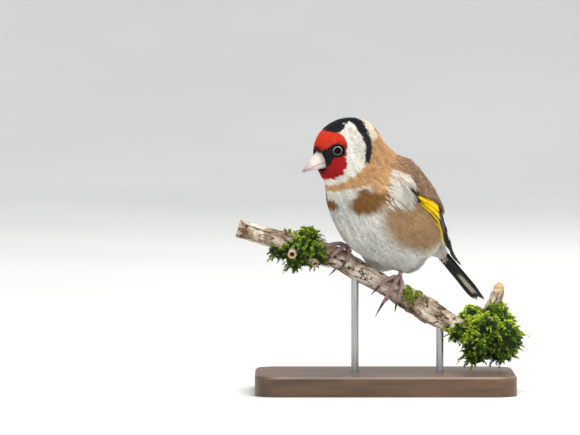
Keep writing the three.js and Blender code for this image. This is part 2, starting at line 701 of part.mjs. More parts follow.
// The display stand: a flat base with rounded corners, and two rods in sockets
function standBase() {
  const [length, width, height] = BASE_SIZE;
  const outline = new THREE.Shape();
  const x = length / 2 - BASE_CORNER;
  const y = width / 2 - BASE_CORNER;
  outline.absarc(x, y, BASE_CORNER, 0, Math.PI / 2);
  outline.absarc(-x, y, BASE_CORNER, Math.PI / 2, Math.PI);
  outline.absarc(-x, -y, BASE_CORNER, Math.PI, 1.5 * Math.PI);
  outline.absarc(x, -y, BASE_CORNER, 1.5 * Math.PI, 2 * Math.PI);
  const bevel = 0.8;
  const geometry = new THREE.ExtrudeGeometry(outline, {
    depth: height - bevel,
    bevelThickness: bevel,
    bevelSize: bevel,
    bevelOffset: -bevel,
    bevelSegments: 1,
    curveSegments: 4,
  });
  const below = new THREE.BoxGeometry(2 * length, 2 * width, 10);
  below.translate(0, 0, -5);
  return solid(geometry).subtract(solid(below));
}

function rodTop(x) {
  return perchFrame(perchAt(x)).centre.z - 0.6;
}
function rod(x, swell, low, high) {
  const geometry = new THREE.CylinderGeometry(ROD_RADIUS + swell, ROD_RADIUS + swell, high - low + 2 * swell, 24);
  geometry.rotateX(Math.PI / 2);
  geometry.translate(x, 0, (low + high) / 2);
  return solid(geometry);
}

// Finishes
const finish = (color, roughness, metalness = 0) => new THREE.MeshStandardMaterial({ color, roughness, metalness });
const FACE = finish(0xc42018, 0.85);
const BUFF = finish(0xb98e63, 0.9);
const BELLY = finish(0xe6e2d8, 0.9);
const BLACK = finish(0x16161a, 0.6);
const HORN = finish(0xe0d0c8, 0.4);
const EYE = finish(0x0c0a0a, 0.08);
const LEG = finish(0x9a6f68, 0.6);
const CLAW = finish(0x3a2c2a, 0.45);
const BARK = finish(0x9c8468, 0.95);
const MOSS = finish(0x5c8a1e, 1);
const OAK = finish(0x54402f, 0.5);
const STEEL = finish(0x8d8f92, 0.3, 1);

const bird = new THREE.Group();
const display = new THREE.Group();

// The body is modelled whole, then parted by thin slices and cut for what is set into it
const tailWhole = joined(
  Array.from({ length: RECTRIX_PAIRS }, (_, k) => [tailFeather(k, 1), tailFeather(k, -1)]).flat(),
);
const bodySwollen = wholeBody(GAP, BODY_ROWS, BODY_AROUND);
const leftPlace = footFrame(LEFT_FOOT_X);
const rightPlace = footFrame(RIGHT_FOOT_X);
const feet = [
  { name: "left", place: leftPlace, toes: LEFT_TOES },
  { name: "right", place: rightPlace, toes: RIGHT_TOES },
];
let flock = wholeBody(0, BODY_ROWS, BODY_AROUND);
for (const { place } of feet) flock = flock.subtract(tarsus(place, GAP));
const parted = flock
  .subtract(slice(0.2, 0))
  .subtract(slice(0.68, 0))
  .subtract(slice(0.84, 0))
  .decompose()
  .sort((a, b) => b.volume() - a.volume())
  .slice(0, 4);
const middleHeight = (made) => {
  const box = made.boundingBox();
  return (box.min[2] + box.max[2]) / 2;
};
const [rumpSolid, torsoSolid, neckSolid, headBlank] = parted.sort((a, b) => middleHeight(a) - middleHeight(b));

const upperBill = mandible(BILL_LENGTH, culmen, (x) => gape(x) + GAP / 2, billWidth);
const lowerBill = mandible(BILL_LENGTH - 0.9, gonys, (x) => gape(x) - GAP / 2, (x) => billWidth(x + 0.6));
const billHole = billSocket();
const seats = { left: eyeSeat(1), right: eyeSeat(-1) };
let headSolid = headBlank;
for (const seat of Object.values(seats)) headSolid = headSolid.add(lidRing(seat));
for (const seat of Object.values(seats)) headSolid = headSolid.subtract(eyeBall(seat, EYE_RADIUS + GAP, 12));
headSolid = headSolid.subtract(billHole);
const nostrils = [1, -1].map((side) => ball(bill.at(1.5, side * 1.75, 2.75), 0.5, 0));

bird.add(piece("head", headSolid, FACE));
bird.add(piece("neck", neckSolid, BUFF));
bird.add(piece("torso", torsoSolid, BELLY));
bird.add(piece("tail_coverts", rumpSolid, BELLY));
bird.add(piece("bill_upper", upperBill.subtract(joined(nostrils)), HORN));
bird.add(piece("bill_lower", lowerBill, HORN));
for (const [name, seat] of Object.entries(seats)) bird.add(piece("eye_" + name, eyeBall(seat, EYE_RADIUS, 16), EYE));

for (const [name, side] of [["left", 1], ["right", -1]]) {
  const whole = joined([wingCore(side), ...wingTiers(side)]);
  bird.add(piece("wing_" + name, whole.subtract(bodySwollen), BLACK));
}
bird.add(piece("tail", tailWhole.subtract(bodySwollen), BLACK));

const branchHoles = [];
for (const { name, place, toes } of feet) {
  const foot = footSolid(place, toes, 0).subtract(tarsus(place, GAP));
  bird.add(piece("leg_" + name, tarsus(place, 0), LEG));
  bird.add(piece("foot_" + name, foot, LEG));
  branchHoles.push(footSolid(place, toes, GAP));
  for (const [toe, path] of Object.entries(toes)) {
    bird.add(piece(["claw", name, toe].join("_"), clawRod(place, path, 0), CLAW));
    branchHoles.push(clawRod(place, path, GAP));
  }
}

const rodHoles = joined(ROD_XS.map((x) => rod(x, GAP, BASE_SIZE[2] - ROD_SOCKET, rodTop(x))));
const stub = brokenStub(0).subtract(perchBranch(GAP));
const twigs = TWIGS.map(({ from, to, radius }) => twigEnd(vec(from), vec(to), radius, 0));
const twigsSwollen = TWIGS.map(({ from, to, radius }) => twigEnd(vec(from), vec(to), radius, GAP));
const perch = joined([perchBranch(0), ...twigs]).subtract(joined(branchHoles)).subtract(rodHoles);
const branchSwollen = perchBranch(GAP);
const leftMoss = mossCushion(...Object.values(MOSS_LEFT))
  .subtract(joined([branchSwollen, ...twigsSwollen]))
  .subtract(joined(branchHoles));
const endMoss = mossCushion(...Object.values(MOSS_END)).subtract(joined([branchSwollen, brokenStub(GAP)]));
display.add(piece("perch_branch", perch, BARK));
display.add(piece("perch_stub", stub, BARK));
display.add(piece("moss_left", leftMoss, MOSS));
display.add(piece("moss_end", endMoss, MOSS));
display.add(piece("stand_base", standBase().subtract(rodHoles), OAK));
ROD_XS.forEach((x, i) => {
  display.add(piece("stand_rod_" + (i + 1), rod(x, 0, BASE_SIZE[2] - ROD_SOCKET, rodTop(x)), STEEL));
});

const model = new THREE.Group();
model.add(bird, display);
export default model;
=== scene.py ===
import functools

import bpy
import numpy as np
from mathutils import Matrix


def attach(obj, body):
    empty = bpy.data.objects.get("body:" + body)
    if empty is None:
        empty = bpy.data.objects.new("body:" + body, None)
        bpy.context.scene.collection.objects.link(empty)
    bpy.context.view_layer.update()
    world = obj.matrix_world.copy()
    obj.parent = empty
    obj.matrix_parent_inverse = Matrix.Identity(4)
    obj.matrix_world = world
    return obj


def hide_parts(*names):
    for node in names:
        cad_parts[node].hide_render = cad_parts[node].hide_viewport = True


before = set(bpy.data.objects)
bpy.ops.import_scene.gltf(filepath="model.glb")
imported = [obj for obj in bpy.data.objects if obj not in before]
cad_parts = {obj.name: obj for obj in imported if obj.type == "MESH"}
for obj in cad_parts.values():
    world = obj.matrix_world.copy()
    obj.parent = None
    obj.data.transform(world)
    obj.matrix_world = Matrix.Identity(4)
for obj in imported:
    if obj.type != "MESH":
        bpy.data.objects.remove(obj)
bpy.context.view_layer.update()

bl_info = {
    "name": "Goldfinch on a mossy branch",
    "version": (1, 0, 0),
    "blender": (4, 5, 0),
    "location": "3D View > Sidebar > Goldfinch",
    "description": "Builds a life-size european goldfinch on its perch and stand",
    "category": "Add Mesh",
}

MM = 0.001
UP = np.array([0, 0, 1.0])
FRONT = np.array([0, -1.0, 0])

# The flesh in millimetres: frame, centre, half sizes, and how far it is pitched up in degrees
FLESH = [
    ("body", (-7, 0, -5), (20, 18, 16.5), 35),
    ("body", (7.5, 0, 4.5), (16, 16.5, 15.0), 50),
    ("body", (5, 0, -6.5), (13, 13, 10.5), 42),
    ("body", (-17, 0, -10.5), (13, 13, 10.5), 28),
    ("body", (-29, 0, -11.5), (15, 5.2, 3.8), 38),
    ("body", (-4.5, 0, 7), (17, 13, 10.5), 38),
    ("body", (5.5, -0.5, 15), (13, 11.5, 10), 38),
    ("body", (13.5, -0.5, 15), (12, 12, 12.5), 60),
    ("body", (-8, 6.5, -19), (6, 5, 5), 0),
    ("body", (-8, -6.5, -19), (6, 5, 5), 0),
    ("head", (0, 0, 0), (12.7, 10.4, 11.4), 0),
    ("head", (-1.5, 0, 3.2), (10.5, 10.6, 7.6), 0),
    ("head", (-1, 5, -4), (9, 5.5, 6.5), 0),
    ("head", (-1, -5, -4), (9, 5.5, 6.5), 0),
]

# How softly the flesh's forms join, and where on the surface its rounded ends begin
FLESH_BLEND = 2.2
REAR_CAP = 0.08
HEAD_CAP = 0.72

# The folded wing's middle line in body axes, its whole length, its reach below and above the line, and its
# roll and bow
WING_LINE = [(8, 14.5, 15), (-3, 17.5, 8), (-14, 16.8, 0.4), (-25, 13.6, -8.6), (-36, 7.8, -16.9),
             (-48, 3.6, -24.2)]
WING_LENGTH = 70
WING_BELOW = [6.0, 6.6, 6.2, 5.4, 4.4, 1.3]
WING_ABOVE = [10.0, 12.5, 11.5, 8.0, 4.2, 1.2]
WING_ROLL = (36, 22)
WING_BOW = (16, 45)
RIGHT_TIP_RISE = 2.4

# The tail: root in body axes, slope, length, fork, and how far its feathers pass the solid one's tip
TAIL_ROOT = (-21, 0, -4.6)
TAIL_SLOPE = 37.6
TAIL_LENGTH = 55
TAIL_FORK = 4.5
FEATHERS_PAST_TAIL = 1.8

# The bill, in a frame of its own at its base: its length, and how far it runs back into the head
BILL_LENGTH = 10.2
BILL_ROOT = 3.2

# The eyes: place in the head's axes, ball radius, how deep the ball sits, and half sizes of the lid's ring
EYE_IN_HEAD = (7.3, 3.2)
EYE_RADIUS = 2.6
EYE_SINK = 1.9
LID_REACH = (1.66, 1.52)

# The perch: X and Z of its middle line, its radius along it, and its length. Then the stub's line and length,
# and each sawn twig's start, end and radius.
PERCH_LINE = [(-58.8, 65.6), (-49, 62.6), (-38, 59.6), (-22.4, 55), (-11.6, 49.2), (-0.4, 42.8), (9.2, 37.4),
              (16, 33.4), (25.6, 27.6), (34, 23.2), (42.8, 19.4)]
PERCH_RADII = [3.5, 3.6, 3.7, 4.3, 4.1, 3.8, 4.4, 4.8, 3.6, 3.4, 3.0]
PERCH_LENGTH = 122
STUB_LINE = [(40.6, 0.4, 26.5), (42.6, 0.4, 33), (44.9, 0.4, 38.6), (46.2, 0.4, 43.8)]
STUB_LENGTH = 22
TWIGS = [((-36.4, -2.0, 57.6), (-37.2, -9.4, 55.4), 1.7), ((-32.6, -1.5, 56.2), (-27.9, -7.6, 51.6), 1.6)]

# Moss cushions: centre, half sizes, clumps, clump size. Then the leaves on a frond, and the angle that
# spreads the clumps evenly.
MOSS = {
    "moss_left": ((-34.4, -0.5, 57), (9, 6.6, 6.2), 8, 4.0),
    "moss_end": ((40.2, -0.5, 23.2), (11, 9.5, 9.8), 10, 5.4),
}
MOSS_LEAVES = 18
GOLDEN_ANGLE = 2.39996

# The feet: distance along the branch, towards the front, and up from its axis. Toe path, then claw path.
FEET = {
    "left": (2.8, {
        "inner": ([(0, 0.6, 5.6), (-2.0, 3.7, 4.8), (-4.2, 5.7, 2.2), (-5.4, 6.1, -1.2)],
                  [(-5.8, 5.8, -2.9), (-6.2, 5.3, -4.6), (-6.4, 4.4, -6.0)]),
        "middle": ([(0, 0.6, 5.6), (-0.3, 4.0, 4.6), (-0.6, 6.1, 1.4), (-0.7, 6.2, -2.8), (-0.7, 5.7, -6.4)],
                   [(-0.7, 5.0, -8.4), (-0.7, 4.1, -10.6), (-0.6, 2.8, -12.6)]),
        "outer": ([(0, 0.6, 5.6), (1.9, 4.0, 4.5), (3.2, 6.0, 1.0), (4.0, 6.0, -3.2)],
                  [(4.4, 5.5, -4.8), (4.9, 4.7, -6.2), (5.3, 3.6, -7.4)]),
        "hind": ([(0, 0.2, 5.6), (0.8, -3.9, 4.5), (1.0, -5.9, 0.8), (0.8, -5.7, -2.2)],
                 [(0.5, -5.0, -4.6), (0.0, -3.8, -6.5), (-0.6, -2.0, -7.6)]),
    }),
    "right": (-18.0, {
        "inner": ([(0, 0.4, 5.9), (1.6, 3.5, 5.0), (2.3, 5.5, 2.4), (2.2, 5.9, 0.4)],
                  [(2.1, 5.8, -1.0), (1.8, 5.4, -2.4), (1.2, 5.0, -3.7)]),
        "middle": ([(0, 0.4, 5.9), (-1.6, 3.8, 5.0), (-3.0, 5.8, 2.2), (-4.0, 6.1, -0.6)],
                   [(-4.6, 5.8, -2.3), (-5.4, 5.2, -4.0), (-6.2, 4.0, -5.4)]),
        "outer": ([(0, 0.4, 5.9), (-3.0, 2.2, 5.7), (-5.9, 4.4, 4.0), (-7.6, 5.6, 1.8)],
                  [(-8.5, 5.9, 0.2), (-9.4, 5.7, -1.4), (-10.0, 5.1, -2.8)]),
        "hind": ([(0, 0.2, 5.9), (0.6, -3.9, 4.8), (0.8, -6.1, 1.2), (0.6, -5.9, -2.0)],
                 [(0.3, -5.2, -4.4), (-0.2, -4.0, -6.4), (-0.8, -2.2, -7.7)]),
    }),
}

# The leg's way up in body axes, its longest length, and the radius of legs and toes
TARSUS_WAY = (-0.5, 0.05, 0.87)
LEG_LENGTH = 14
LIMB_RADIUS = 0.84

# The stage in metres: the floor's flat radius, the bend at its edge, and the camera
FLOOR_RADIUS = 2.2
FLOOR_BEND = 2.4
VIEW_TARGET = np.array([-0.038, 0, 0.0698])
VIEW_DISTANCE = 2.0
VIEW_TILT = 2.5
VIEW_LENS = 310.3

# Disc lamps: place, target, size, power, colour
LAMPS = {
    "lamp_top": ((0.1, -0.3, 1.25), (0, 0, 0.07), 0.9, 8.5, (1.0, 0.985, 0.95)),
    "lamp_front": ((-0.9, -1.5, 0.75), (0, 0, 0.07), 0.9, 4.0, (0.98, 0.99, 1.0)),
    "lamp_back": ((0.5, 1.0, 0.9), (0, 0, 0.09), 0.7, 5.5, (1.0, 0.99, 0.97)),
    "lamp_spark": ((0.72, -1.0, 0.92), (0, 0, 0.09), 0.36, 7.5, (1.0, 1.0, 1.0)),
}


# Numbers and vectors


def unit(vectors):
    """Vectors scaled to length one."""
    return vectors / np.maximum(np.linalg.norm(vectors, axis=-1, keepdims=True), 1e-9)


def smooth(low, high, x):
    """A soft step from 0 at low to 1 at high."""
    t = np.clip((x - low) / (high - low), 0, 1)
    return t * t * (3 - 2 * t)


def mix(a, b, t):
    """a to b as t goes 0 to 1."""
    return a + (b - a) * t


def dot(a, b):
    """Dot products along the last axis, which is kept."""
    return (a * b).sum(-1, keepdims=True)


def turns(count):
    """Even angles once round."""
    return np.arange(count) * 2 * np.pi / count


def ball_grid(rows, columns, gap):
    """Points of a unit ball on a grid of polar angles and turns, from a small gap off one pole to the
    other."""
    polar, turn = np.meshgrid(np.linspace(gap, np.pi - gap, rows), turns(columns), indexing="ij")
    return np.stack([np.sin(polar) * np.cos(turn), np.sin(polar) * np.sin(turn), np.cos(polar)], -1)


def noise(points, size, seed=0):
    """A smooth random field between -1 and 1: random values at the corners of cubes of a given size,
    blended by a cubic step."""
    place = points / size
    cell = np.floor(place).astype(np.int64)
    part = place - cell
    part = part * part * (3 - 2 * part)
    total = np.zeros(points.shape[:-1])
    for corner in np.ndindex(2, 2, 2):
        c = cell + np.array(corner)
        h = (c[..., 0] * 73856093) ^ (c[..., 1] * 19349663) ^ (c[..., 2] * 83492791) ^ (seed * 26544357)
        h = ((h ^ (h >> 13)) * 1274126177) & 0x7FFFFFFF
        value = ((h ^ (h >> 15)) & 0xFFFF) / 32767.5 - 1
        total += value * np.where(np.array(corner) == 1, part, 1 - part).prod(-1)
    return total


def curve(knots, t):
    """Points and directions along a Catmull-Rom curve through the knots, for t from 0 to 1."""
    knots = np.asarray(knots, float)
    ends = [2 * knots[0] - knots[1], 2 * knots[-1] - knots[-2]]
    padded = np.vstack([ends[:1], knots, ends[1:]])
    place = np.clip(np.asarray(t, float), 0, 1) * (len(knots) - 1)
    k = np.minimum(place.astype(int), len(knots) - 2)
    f = (place - k)[..., None]
    p0, p1, p2, p3 = (padded[k + i] for i in range(4))
    m1, m2 = (p2 - p0) / 2, (p3 - p1) / 2
    c2, c3 = -3 * p1 + 3 * p2 - 2 * m1 - m2, 2 * p1 - 2 * p2 + m1 + m2
    return p1 + m1 * f + c2 * f * f + c3 * f ** 3, unit(m1 + 2 * c2 * f + 3 * c3 * f * f)


def steps(values, t):
    """Values at even steps of t from 0 to 1, with soft steps between them."""
    values = np.asarray(values, float)
    place = np.clip(t, 0, 1) * (len(values) - 1)
    k = np.minimum(place.astype(int), len(values) - 2)
    return mix(values[k], values[k + 1], smooth(0, 1, place - k))


class Axes:
    """Forward, left and up axes at an origin. The heading turns from -X towards -Y. Pitch lifts the nose."""

    def __init__(self, origin, heading, pitch):
        h, p = np.radians(heading), np.radians(pitch)
        forward = np.array([-np.cos(h) * np.cos(p), -np.sin(h) * np.cos(p), np.sin(p)])
        left = np.array([np.sin(h), -np.cos(h), 0])
        self.origin = np.asarray(origin, float)
        self.rows = np.array([forward, left, np.cross(forward, left)])

    def turn(self, vectors):
        """Vectors given along the axes, in world directions."""
        return np.asarray(vectors, float) @ self.rows

    def at(self, points):
        """Points given along the axes, in world places."""
        return self.turn(points) + self.origin

    def local(self, points):
        """World points along the axes."""
        return (points - self.origin) @ self.rows.T


BODY = Axes((-2, 0, 73.6), 50, 0)
HEAD = Axes(BODY.at((20, -1, 23.2)), 23, -20)
BILL = Axes(HEAD.at((11, 0, 0.9)), 23, -29.5)


# The bird's form


def flesh_rows():
    """Centres, axes and half sizes of the flesh's ellipsoids in the world."""
    centres, axes, halves = [], [], []
    for where, centre, half, pitch in FLESH:
        home = {"body": BODY, "head": HEAD}[where]
        c, s = np.cos(np.radians(pitch)), np.sin(np.radians(pitch))
        centres.append(home.at(centre))
        axes.append(home.turn([(c, 0, s), (0, 1, 0), (-s, 0, c)]))
        halves.append(half)
    return np.array(centres), np.array(axes), np.array(halves, float)


FLESH_ROWS = flesh_rows()


def body_distance(points):
    """Rough signed distance to the soft union of the flesh's ellipsoids."""
    total = np.zeros(points.shape[:-1])
    for centre, axes, half in zip(*FLESH_ROWS):
        share = (points - centre) @ (axes / half[:, None]).T
        far = np.sqrt((share ** 2).sum(-1))
        steep = np.sqrt(((share / half) ** 2).sum(-1))
        total += np.exp(-np.maximum(far * (far - 1) / np.maximum(steep, 1e-6), -40) / FLESH_BLEND)
    return -FLESH_BLEND * np.log(np.maximum(total, 1e-30))


def out_of_body(points):
    """Directions straight out of the body."""
    slope = np.empty(points.shape)
    for k in range(3):
        step = np.zeros(3)
        step[k] = 0.05
        slope[..., k] = body_distance(points + step) - body_distance(points - step)
    return unit(slope)


def spine(t):
    """Points and directions of the body's middle line, a cubic Bezier from the tail coverts to the head."""
    a, b = BODY.at((-37, 0, -17.2)), BODY.at((-9, 0, -3.5))
    c, d = HEAD.at((0, 0, -17)), HEAD.origin
    t = np.asarray(t, float)[..., None]
    point = (1 - t) ** 3 * a + 3 * (1 - t) ** 2 * t * b + 3 * (1 - t) * t * t * c + t ** 3 * d
    way = (1 - t) ** 2 * (b - a) + 2 * (1 - t) * t * (c - b) + t * t * (d - c)
    return point, unit(way)


def body_surface(v, turn):
    """The coat's outer surface: rays leave the spine all round, and fan out at either end, until they meet
    it. v runs from the tail coverts to the crown, turn goes round from the bird's left over its back."""
    along = np.clip((v - REAR_CAP) / (HEAD_CAP - REAR_CAP), 0, 1)
    origin, forward = spine(along)
    side = mix(BODY.rows[1], HEAD.rows[1], smooth(0.45, 0.95, along)[..., None])
    side = unit(side - dot(side, forward) * forward)
    back = np.cross(forward, side)
    fan = np.clip((v - HEAD_CAP) / (1 - HEAD_CAP), 0, 1)
    lean = np.where(v < REAR_CAP, v / REAR_CAP - 1, fan) * np.pi / 2
    around = side * np.cos(turn)[..., None] + back * np.sin(turn)[..., None]
    way = around * np.cos(lean)[..., None] + forward * np.sin(lean)[..., None]
    inside, outside = np.zeros(v.shape), np.full(v.shape, 34.0)
    for _ in range(18):
        middle = (inside + outside) / 2
        within = body_distance(origin + way * middle[..., None]) < 0
        inside, outside = np.where(within, middle, inside), np.where(within, outside, middle)
    return origin + way * inside[..., None], forward


def wing_sheet(side, a, b, w, layer):
    """The folded wing's sheet: a runs from the bend of the wing to its tip, b from its lower edge up over the
    back, w is millimetres off that and layer the height above the sheet, which is held clear of the body."""
    held = np.clip(a, 0, 1)
    middle, backward = curve(WING_LINE, held)
    outward = unit(-FRONT - backward[..., 1:2] * backward)
    upward = np.cross(outward, backward)
    roll = np.radians(mix(WING_ROLL[0], WING_ROLL[1], a))[..., None]
    normal = outward * np.cos(roll) + upward * np.sin(roll)
    climb = upward * np.cos(roll) - outward * np.sin(roll)
    across = mix(-steps(WING_BELOW, a), steps(WING_ABOVE, a), b) + w
    sunk = layer - across ** 2 / (2 * mix(WING_BOW[0], WING_BOW[1], a))
    past = backward * ((a - held) * WING_LENGTH)[..., None]
    local = middle + climb * across[..., None] + normal * sunk[..., None] + past
    local[..., 1] *= side
    if side < 0:
        local[..., 2] += RIGHT_TIP_RISE * held ** 2
    point = BODY.at(local)
    tuck = 3 * (1 - smooth(-0.04, 0.12, a)) + 2.2 * (1 - smooth(0, 0.16, b)) * (1 - smooth(0.55, 0.75, a))
    hold = 1 - smooth(0.45, 0.75, a)
    for _ in range(4):
        short = 0.6 + layer - tuck - body_distance(point)
        point = point + out_of_body(point) * np.where(short > 0, short, short * hold)[..., None]
    return point


def perch_at(s):
    """Centre, direction and top direction of the branch at s from 0 to 1."""
    knots = [(x, 0, z) for x, z in PERCH_LINE]
    centre, along = curve(knots, s)
    top = np.stack([-along[..., 2], np.zeros(along.shape[:-1]), along[..., 0]], -1)
    return centre, along, top


def perch_radius(s, turn):
    """The branch's radius with its knots and low ridges."""
    rough = 0.02 + 0.05 * smooth(0.58, 0.66, s) * (1 - smooth(0.78, 0.84, s))
    ridges = np.sin(3 * turn + 9 * s) + 0.7 * np.sin(5 * turn - 23 * s) + 0.8 * np.sin(41 * s + turn)
    return steps(PERCH_RADII, s) * (1 + rough * ridges)


def perch_where(x):
    """The place along the branch that has a given X."""
    s = np.linspace(0, 1, 4001)
    return float(np.interp(x, perch_at(s)[0][:, 0], s))


# Colours of the plumage


def settings():
    """The sizes and colours set in the sidebar."""
    return bpy.context.scene.goldfinch


def colour_of(name):
    """A colour from the settings as an array."""
    return np.array(getattr(settings(), name)[:3])


def paint(base, name, mask):
    """Lay a colour from the settings over base where mask is 1."""
    return mix(base, colour_of(name), np.clip(mask, 0, 1)[..., None])


def body_markings(points, fray):
    """The body's colours in its own axes: white below that greys low on the body as painted shade, tawny
    flanks, a breast patch on each side as an ellipse, and a grey-brown back. Also returns how far up the back
    each point lies."""
    body, broad = BODY.local(points), 1.6 * noise(points, 4.5, 5) + fray
    f, side, u = body[..., 0] + broad, np.abs(body[..., 1]), body[..., 2] + broad
    dorsal = 0.77 * u - 0.64 * f
    # Painted shade: the white greys lower on the body, with a little noise
    shade = smooth(2, -16, dorsal) * 0.5 + 0.25 * noise(points, 7, 6)
    colour = paint(np.broadcast_to(colour_of("white"), points.shape), "belly_shade", shade)
    flank = smooth(9.5, 15, side) * smooth(20, 9, f) * smooth(-21, -14, u)
    colour = paint(colour, "flank_tawny", 0.9 * flank)
    upper_side = smooth(9.5, 13, side) * smooth(-1, 5, u) * smooth(7, 11, f)
    colour = paint(colour, "collar", 0.95 * upper_side)
    patch = 1 - np.hypot((side - 9.8) / 8.0, (u - 3.0 - 0.3 * (side - 9.6)) / 5.6)
    patch = smooth(-0.1, 0.45, patch + 0.12 * noise(points, 2.2, 7)) * smooth(6, 12, f)
    colour = paint(colour, "breast_tawny", patch)
    return paint(colour, "mantle", smooth(3.5, 7, dorsal) * smooth(-27, -21, f)), dorsal


def neck_markings(colour, f, side, u, dorsal):
    """A white throat band, a tan collar that runs up the hind neck, and a cream patch on the nape."""
    band = smooth(-18, -16.6, u) * smooth(9.5, 6.5, side) * smooth(0, 3, f)
    colour = paint(colour, "white", band)
    soft = mix(0.6, 4.5, smooth(0, 9, dorsal))
    collar = smooth(-13 - soft, -13 + soft, u + 0.25 * np.clip(side - 6, 0, 4))
    colour = paint(colour, "collar", collar)
    hind = smooth(-4.5, -6.5, f) * smooth(-16, -12, u)
    colour = paint(colour, "mantle", hind * smooth(4, 8, dorsal) * 0.25)
    nape = 1 - np.hypot((f + 8.9) / 3.3, (u - 6.0) / 4.7)
    return paint(colour, "cream", smooth(-0.1, 0.35, nape))


def head_markings(colour, f, side, u):
    """The head's bands, whose edges are lines of height against reach: a white cheek, a black crown with a
    crescent down behind the cheek, and a red face that lightens to orange up the forehead as painted light."""
    rear = np.interp(u, [-8, -5.3, -4.4, -1.7, 3.2, 7.6, 10.6], [0.5, -2.2, -3.4, -5.4, -6.5, -7.3, -8.5])
    fore = np.interp(u, [-6.2, -5.3, -4.4, 0, 3.1, 7, 9.9], [0.3, -1.5, -1.2, -3.0, -3.6, -3.4, -3.4])
    base = np.interp(f, [-3, 0.7, 4.7, 9.5, 12], [-5.5, -7.0, -8.8, -10.4, -10.8])
    colour = paint(colour, "white", smooth(-0.5, 0.5, f - rear) * smooth(-0.6, 0.6, u - base))
    brow = np.interp(f, [-10, -4.6, -3.2, -1, 1, 3.5, 6.5], [6.5, 9.8, 11.5, 11.3, 10.5, 9.4, 9.9])
    crown = smooth(-0.35, 0.35, u - brow) * smooth(-8.7, -7.5, f)
    crescent = smooth(-0.4, 0.4, f + 0.5 - rear) * smooth(0.4, -0.4, f - fore)
    crescent = crescent * smooth(-6.2, -5, u) * smooth(2, 5, side)
    # The crown's black carries a faint blue cast as a painted sheen
    colour = paint(colour, "crown_black", np.maximum(crown, crescent))
    edge = np.interp(u, [-9, -7.6, -6.7, -3.6, 0.3, 4.8, 8.6, 9.8, 10.3, 11.5],
                     [13, 10.6, 8.3, 6.2, 5.1, 3.3, 3.2, 4.3, 5.8, 6.4])
    red = smooth(-0.4, 0.4, f - edge) * smooth(-8.2, -7.2, u)
    colour = paint(colour, "face_red", red)
    # Painted light: the red lightens to orange towards the top of the forehead
    return paint(colour, "forehead_red", red * smooth(3.5, 7.5, u))


def lore_mask(points, head, f, side, u):
    """1 on the black lores between two lines from bill to eye, round the eye, and round the bill's base."""
    upper = np.interp(f, [7, 7.9, 9.6, 12.3], [3.6, 4.7, 5.5, 4.4])
    lower = np.interp(f, [7, 7.9, 9.3, 11.5, 12.5], [1.6, 1.3, 0.6, -1.4, -1.9])
    lores = smooth(-0.4, 0.3, u - lower) * smooth(0.4, -0.3, u - upper) * smooth(7, 7.8, f)
    from_eye = np.hypot(head[..., 0] - EYE_IN_HEAD[0], head[..., 2] - EYE_IN_HEAD[1])
    eye = smooth(3.1, 2.4, from_eye) * smooth(3, 5, side)
    bill = BILL.local(points)
    rim = smooth(-1.5, -0.5, bill[..., 0]) * smooth(6.5, 4.5, np.hypot(bill[..., 1], bill[..., 2]))
    return np.maximum(np.maximum(lores, eye), rim)


def markings(points):
    """The plumage's colours by formula: soft-edged bands in the body's and the head's axes, with edges that
    small noise frays, and a fine grain."""
    fray = 0.55 * noise(points, 1.3, 3) + 0.3 * noise(points, 0.6, 4)
    colour, dorsal = body_markings(points, fray)
    head = HEAD.local(points)
    f, side, u = head[..., 0] + fray, np.abs(head[..., 1]), head[..., 2] + fray
    colour = neck_markings(colour, f, side, u, dorsal)
    colour = head_markings(colour, f, side, u)
    colour = paint(colour, "lores_black", lore_mask(points, head, f, side, u))
    grain = 1 + 0.10 * noise(points, 1.0, 8) + 0.06 * noise(points, 0.35, 9)
    return colour * grain[..., None]


# Meshes


def mesh_object(name, points, triangles, material, slot, replaced=(), colours=None, extras=None, homes=None):
    """A smooth mesh object that stays with the model. Points are in millimetres. colours is a colour for each
    point, extras are named values for each point, and homes is a place on the OFBake map for each point."""
    mesh = bpy.data.meshes.new(name)
    triangles = np.ascontiguousarray(triangles, np.int32)
    mesh.vertices.add(len(points))
    mesh.vertices.foreach_set("co", (np.asarray(points, np.float32) * MM).ravel())
    mesh.loops.add(triangles.size)
    mesh.loops.foreach_set("vertex_index", triangles.ravel())
    mesh.polygons.add(len(triangles))
    mesh.polygons.foreach_set("loop_start", np.arange(0, triangles.size, 3, dtype=np.int32))
    mesh.update(calc_edges=True)
    mesh.shade_smooth()
    if colours is not None:
        full = np.ones((len(points), 4), np.float32)
        full[:, :3] = np.clip(colours, 0, 1)
        mesh.attributes.new("Coat", "FLOAT_COLOR", "POINT").data.foreach_set("color", full.ravel())
    for key, values in (extras or {}).items():
        values = np.asarray(values, np.float32)
        if values.ndim == 2:
            mesh.attributes.new(key, "FLOAT_VECTOR", "POINT").data.foreach_set("vector", values.ravel())
        else:
            mesh.attributes.new(key, "FLOAT", "POINT").data.foreach_set("value", values)
    if homes is not None:
        corners = np.asarray(homes, np.float32)[triangles]
        across = corners[..., 0]
        across += (across < 0.5) & (np.ptp(across, axis=1, keepdims=True) > 0.5)
        mesh.uv_layers.new(name="OFBake").uv.foreach_set("vector", corners.ravel())
    mesh.materials.append(material)
    if mesh.validate():
        raise RuntimeError(name + " has faulty faces")
    piece = bpy.data.objects.new(name, mesh)
    bpy.context.scene.collection.objects.link(piece)
    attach(piece, "root")
    if replaced:
        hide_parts(*replaced)
    return piece


def grid_triangles(rows, columns):
    """Triangles of a grid of rows that each close on themselves, with a pole point after the grid's points at
    either end."""
    i, j = np.meshgrid(np.arange(rows - 1), np.arange(columns), indexing="ij")
    k = (j + 1) % columns
    a, b, c, d = i * columns + j, i * columns + k, (i + 1) * columns + j, (i + 1) * columns + k
    walls = np.stack([a, b, c, b, d, c], -1).reshape(-1, 3)
    j = np.arange(columns)
    k = (j + 1) % columns
    first, last = rows * columns, rows * columns + 1
    far = (rows - 1) * columns
    start = np.stack([np.full(columns, first), k, j], -1)
    end = np.stack([np.full(columns, last), far + j, far + k], -1)
    return np.vstack([walls, start, end])


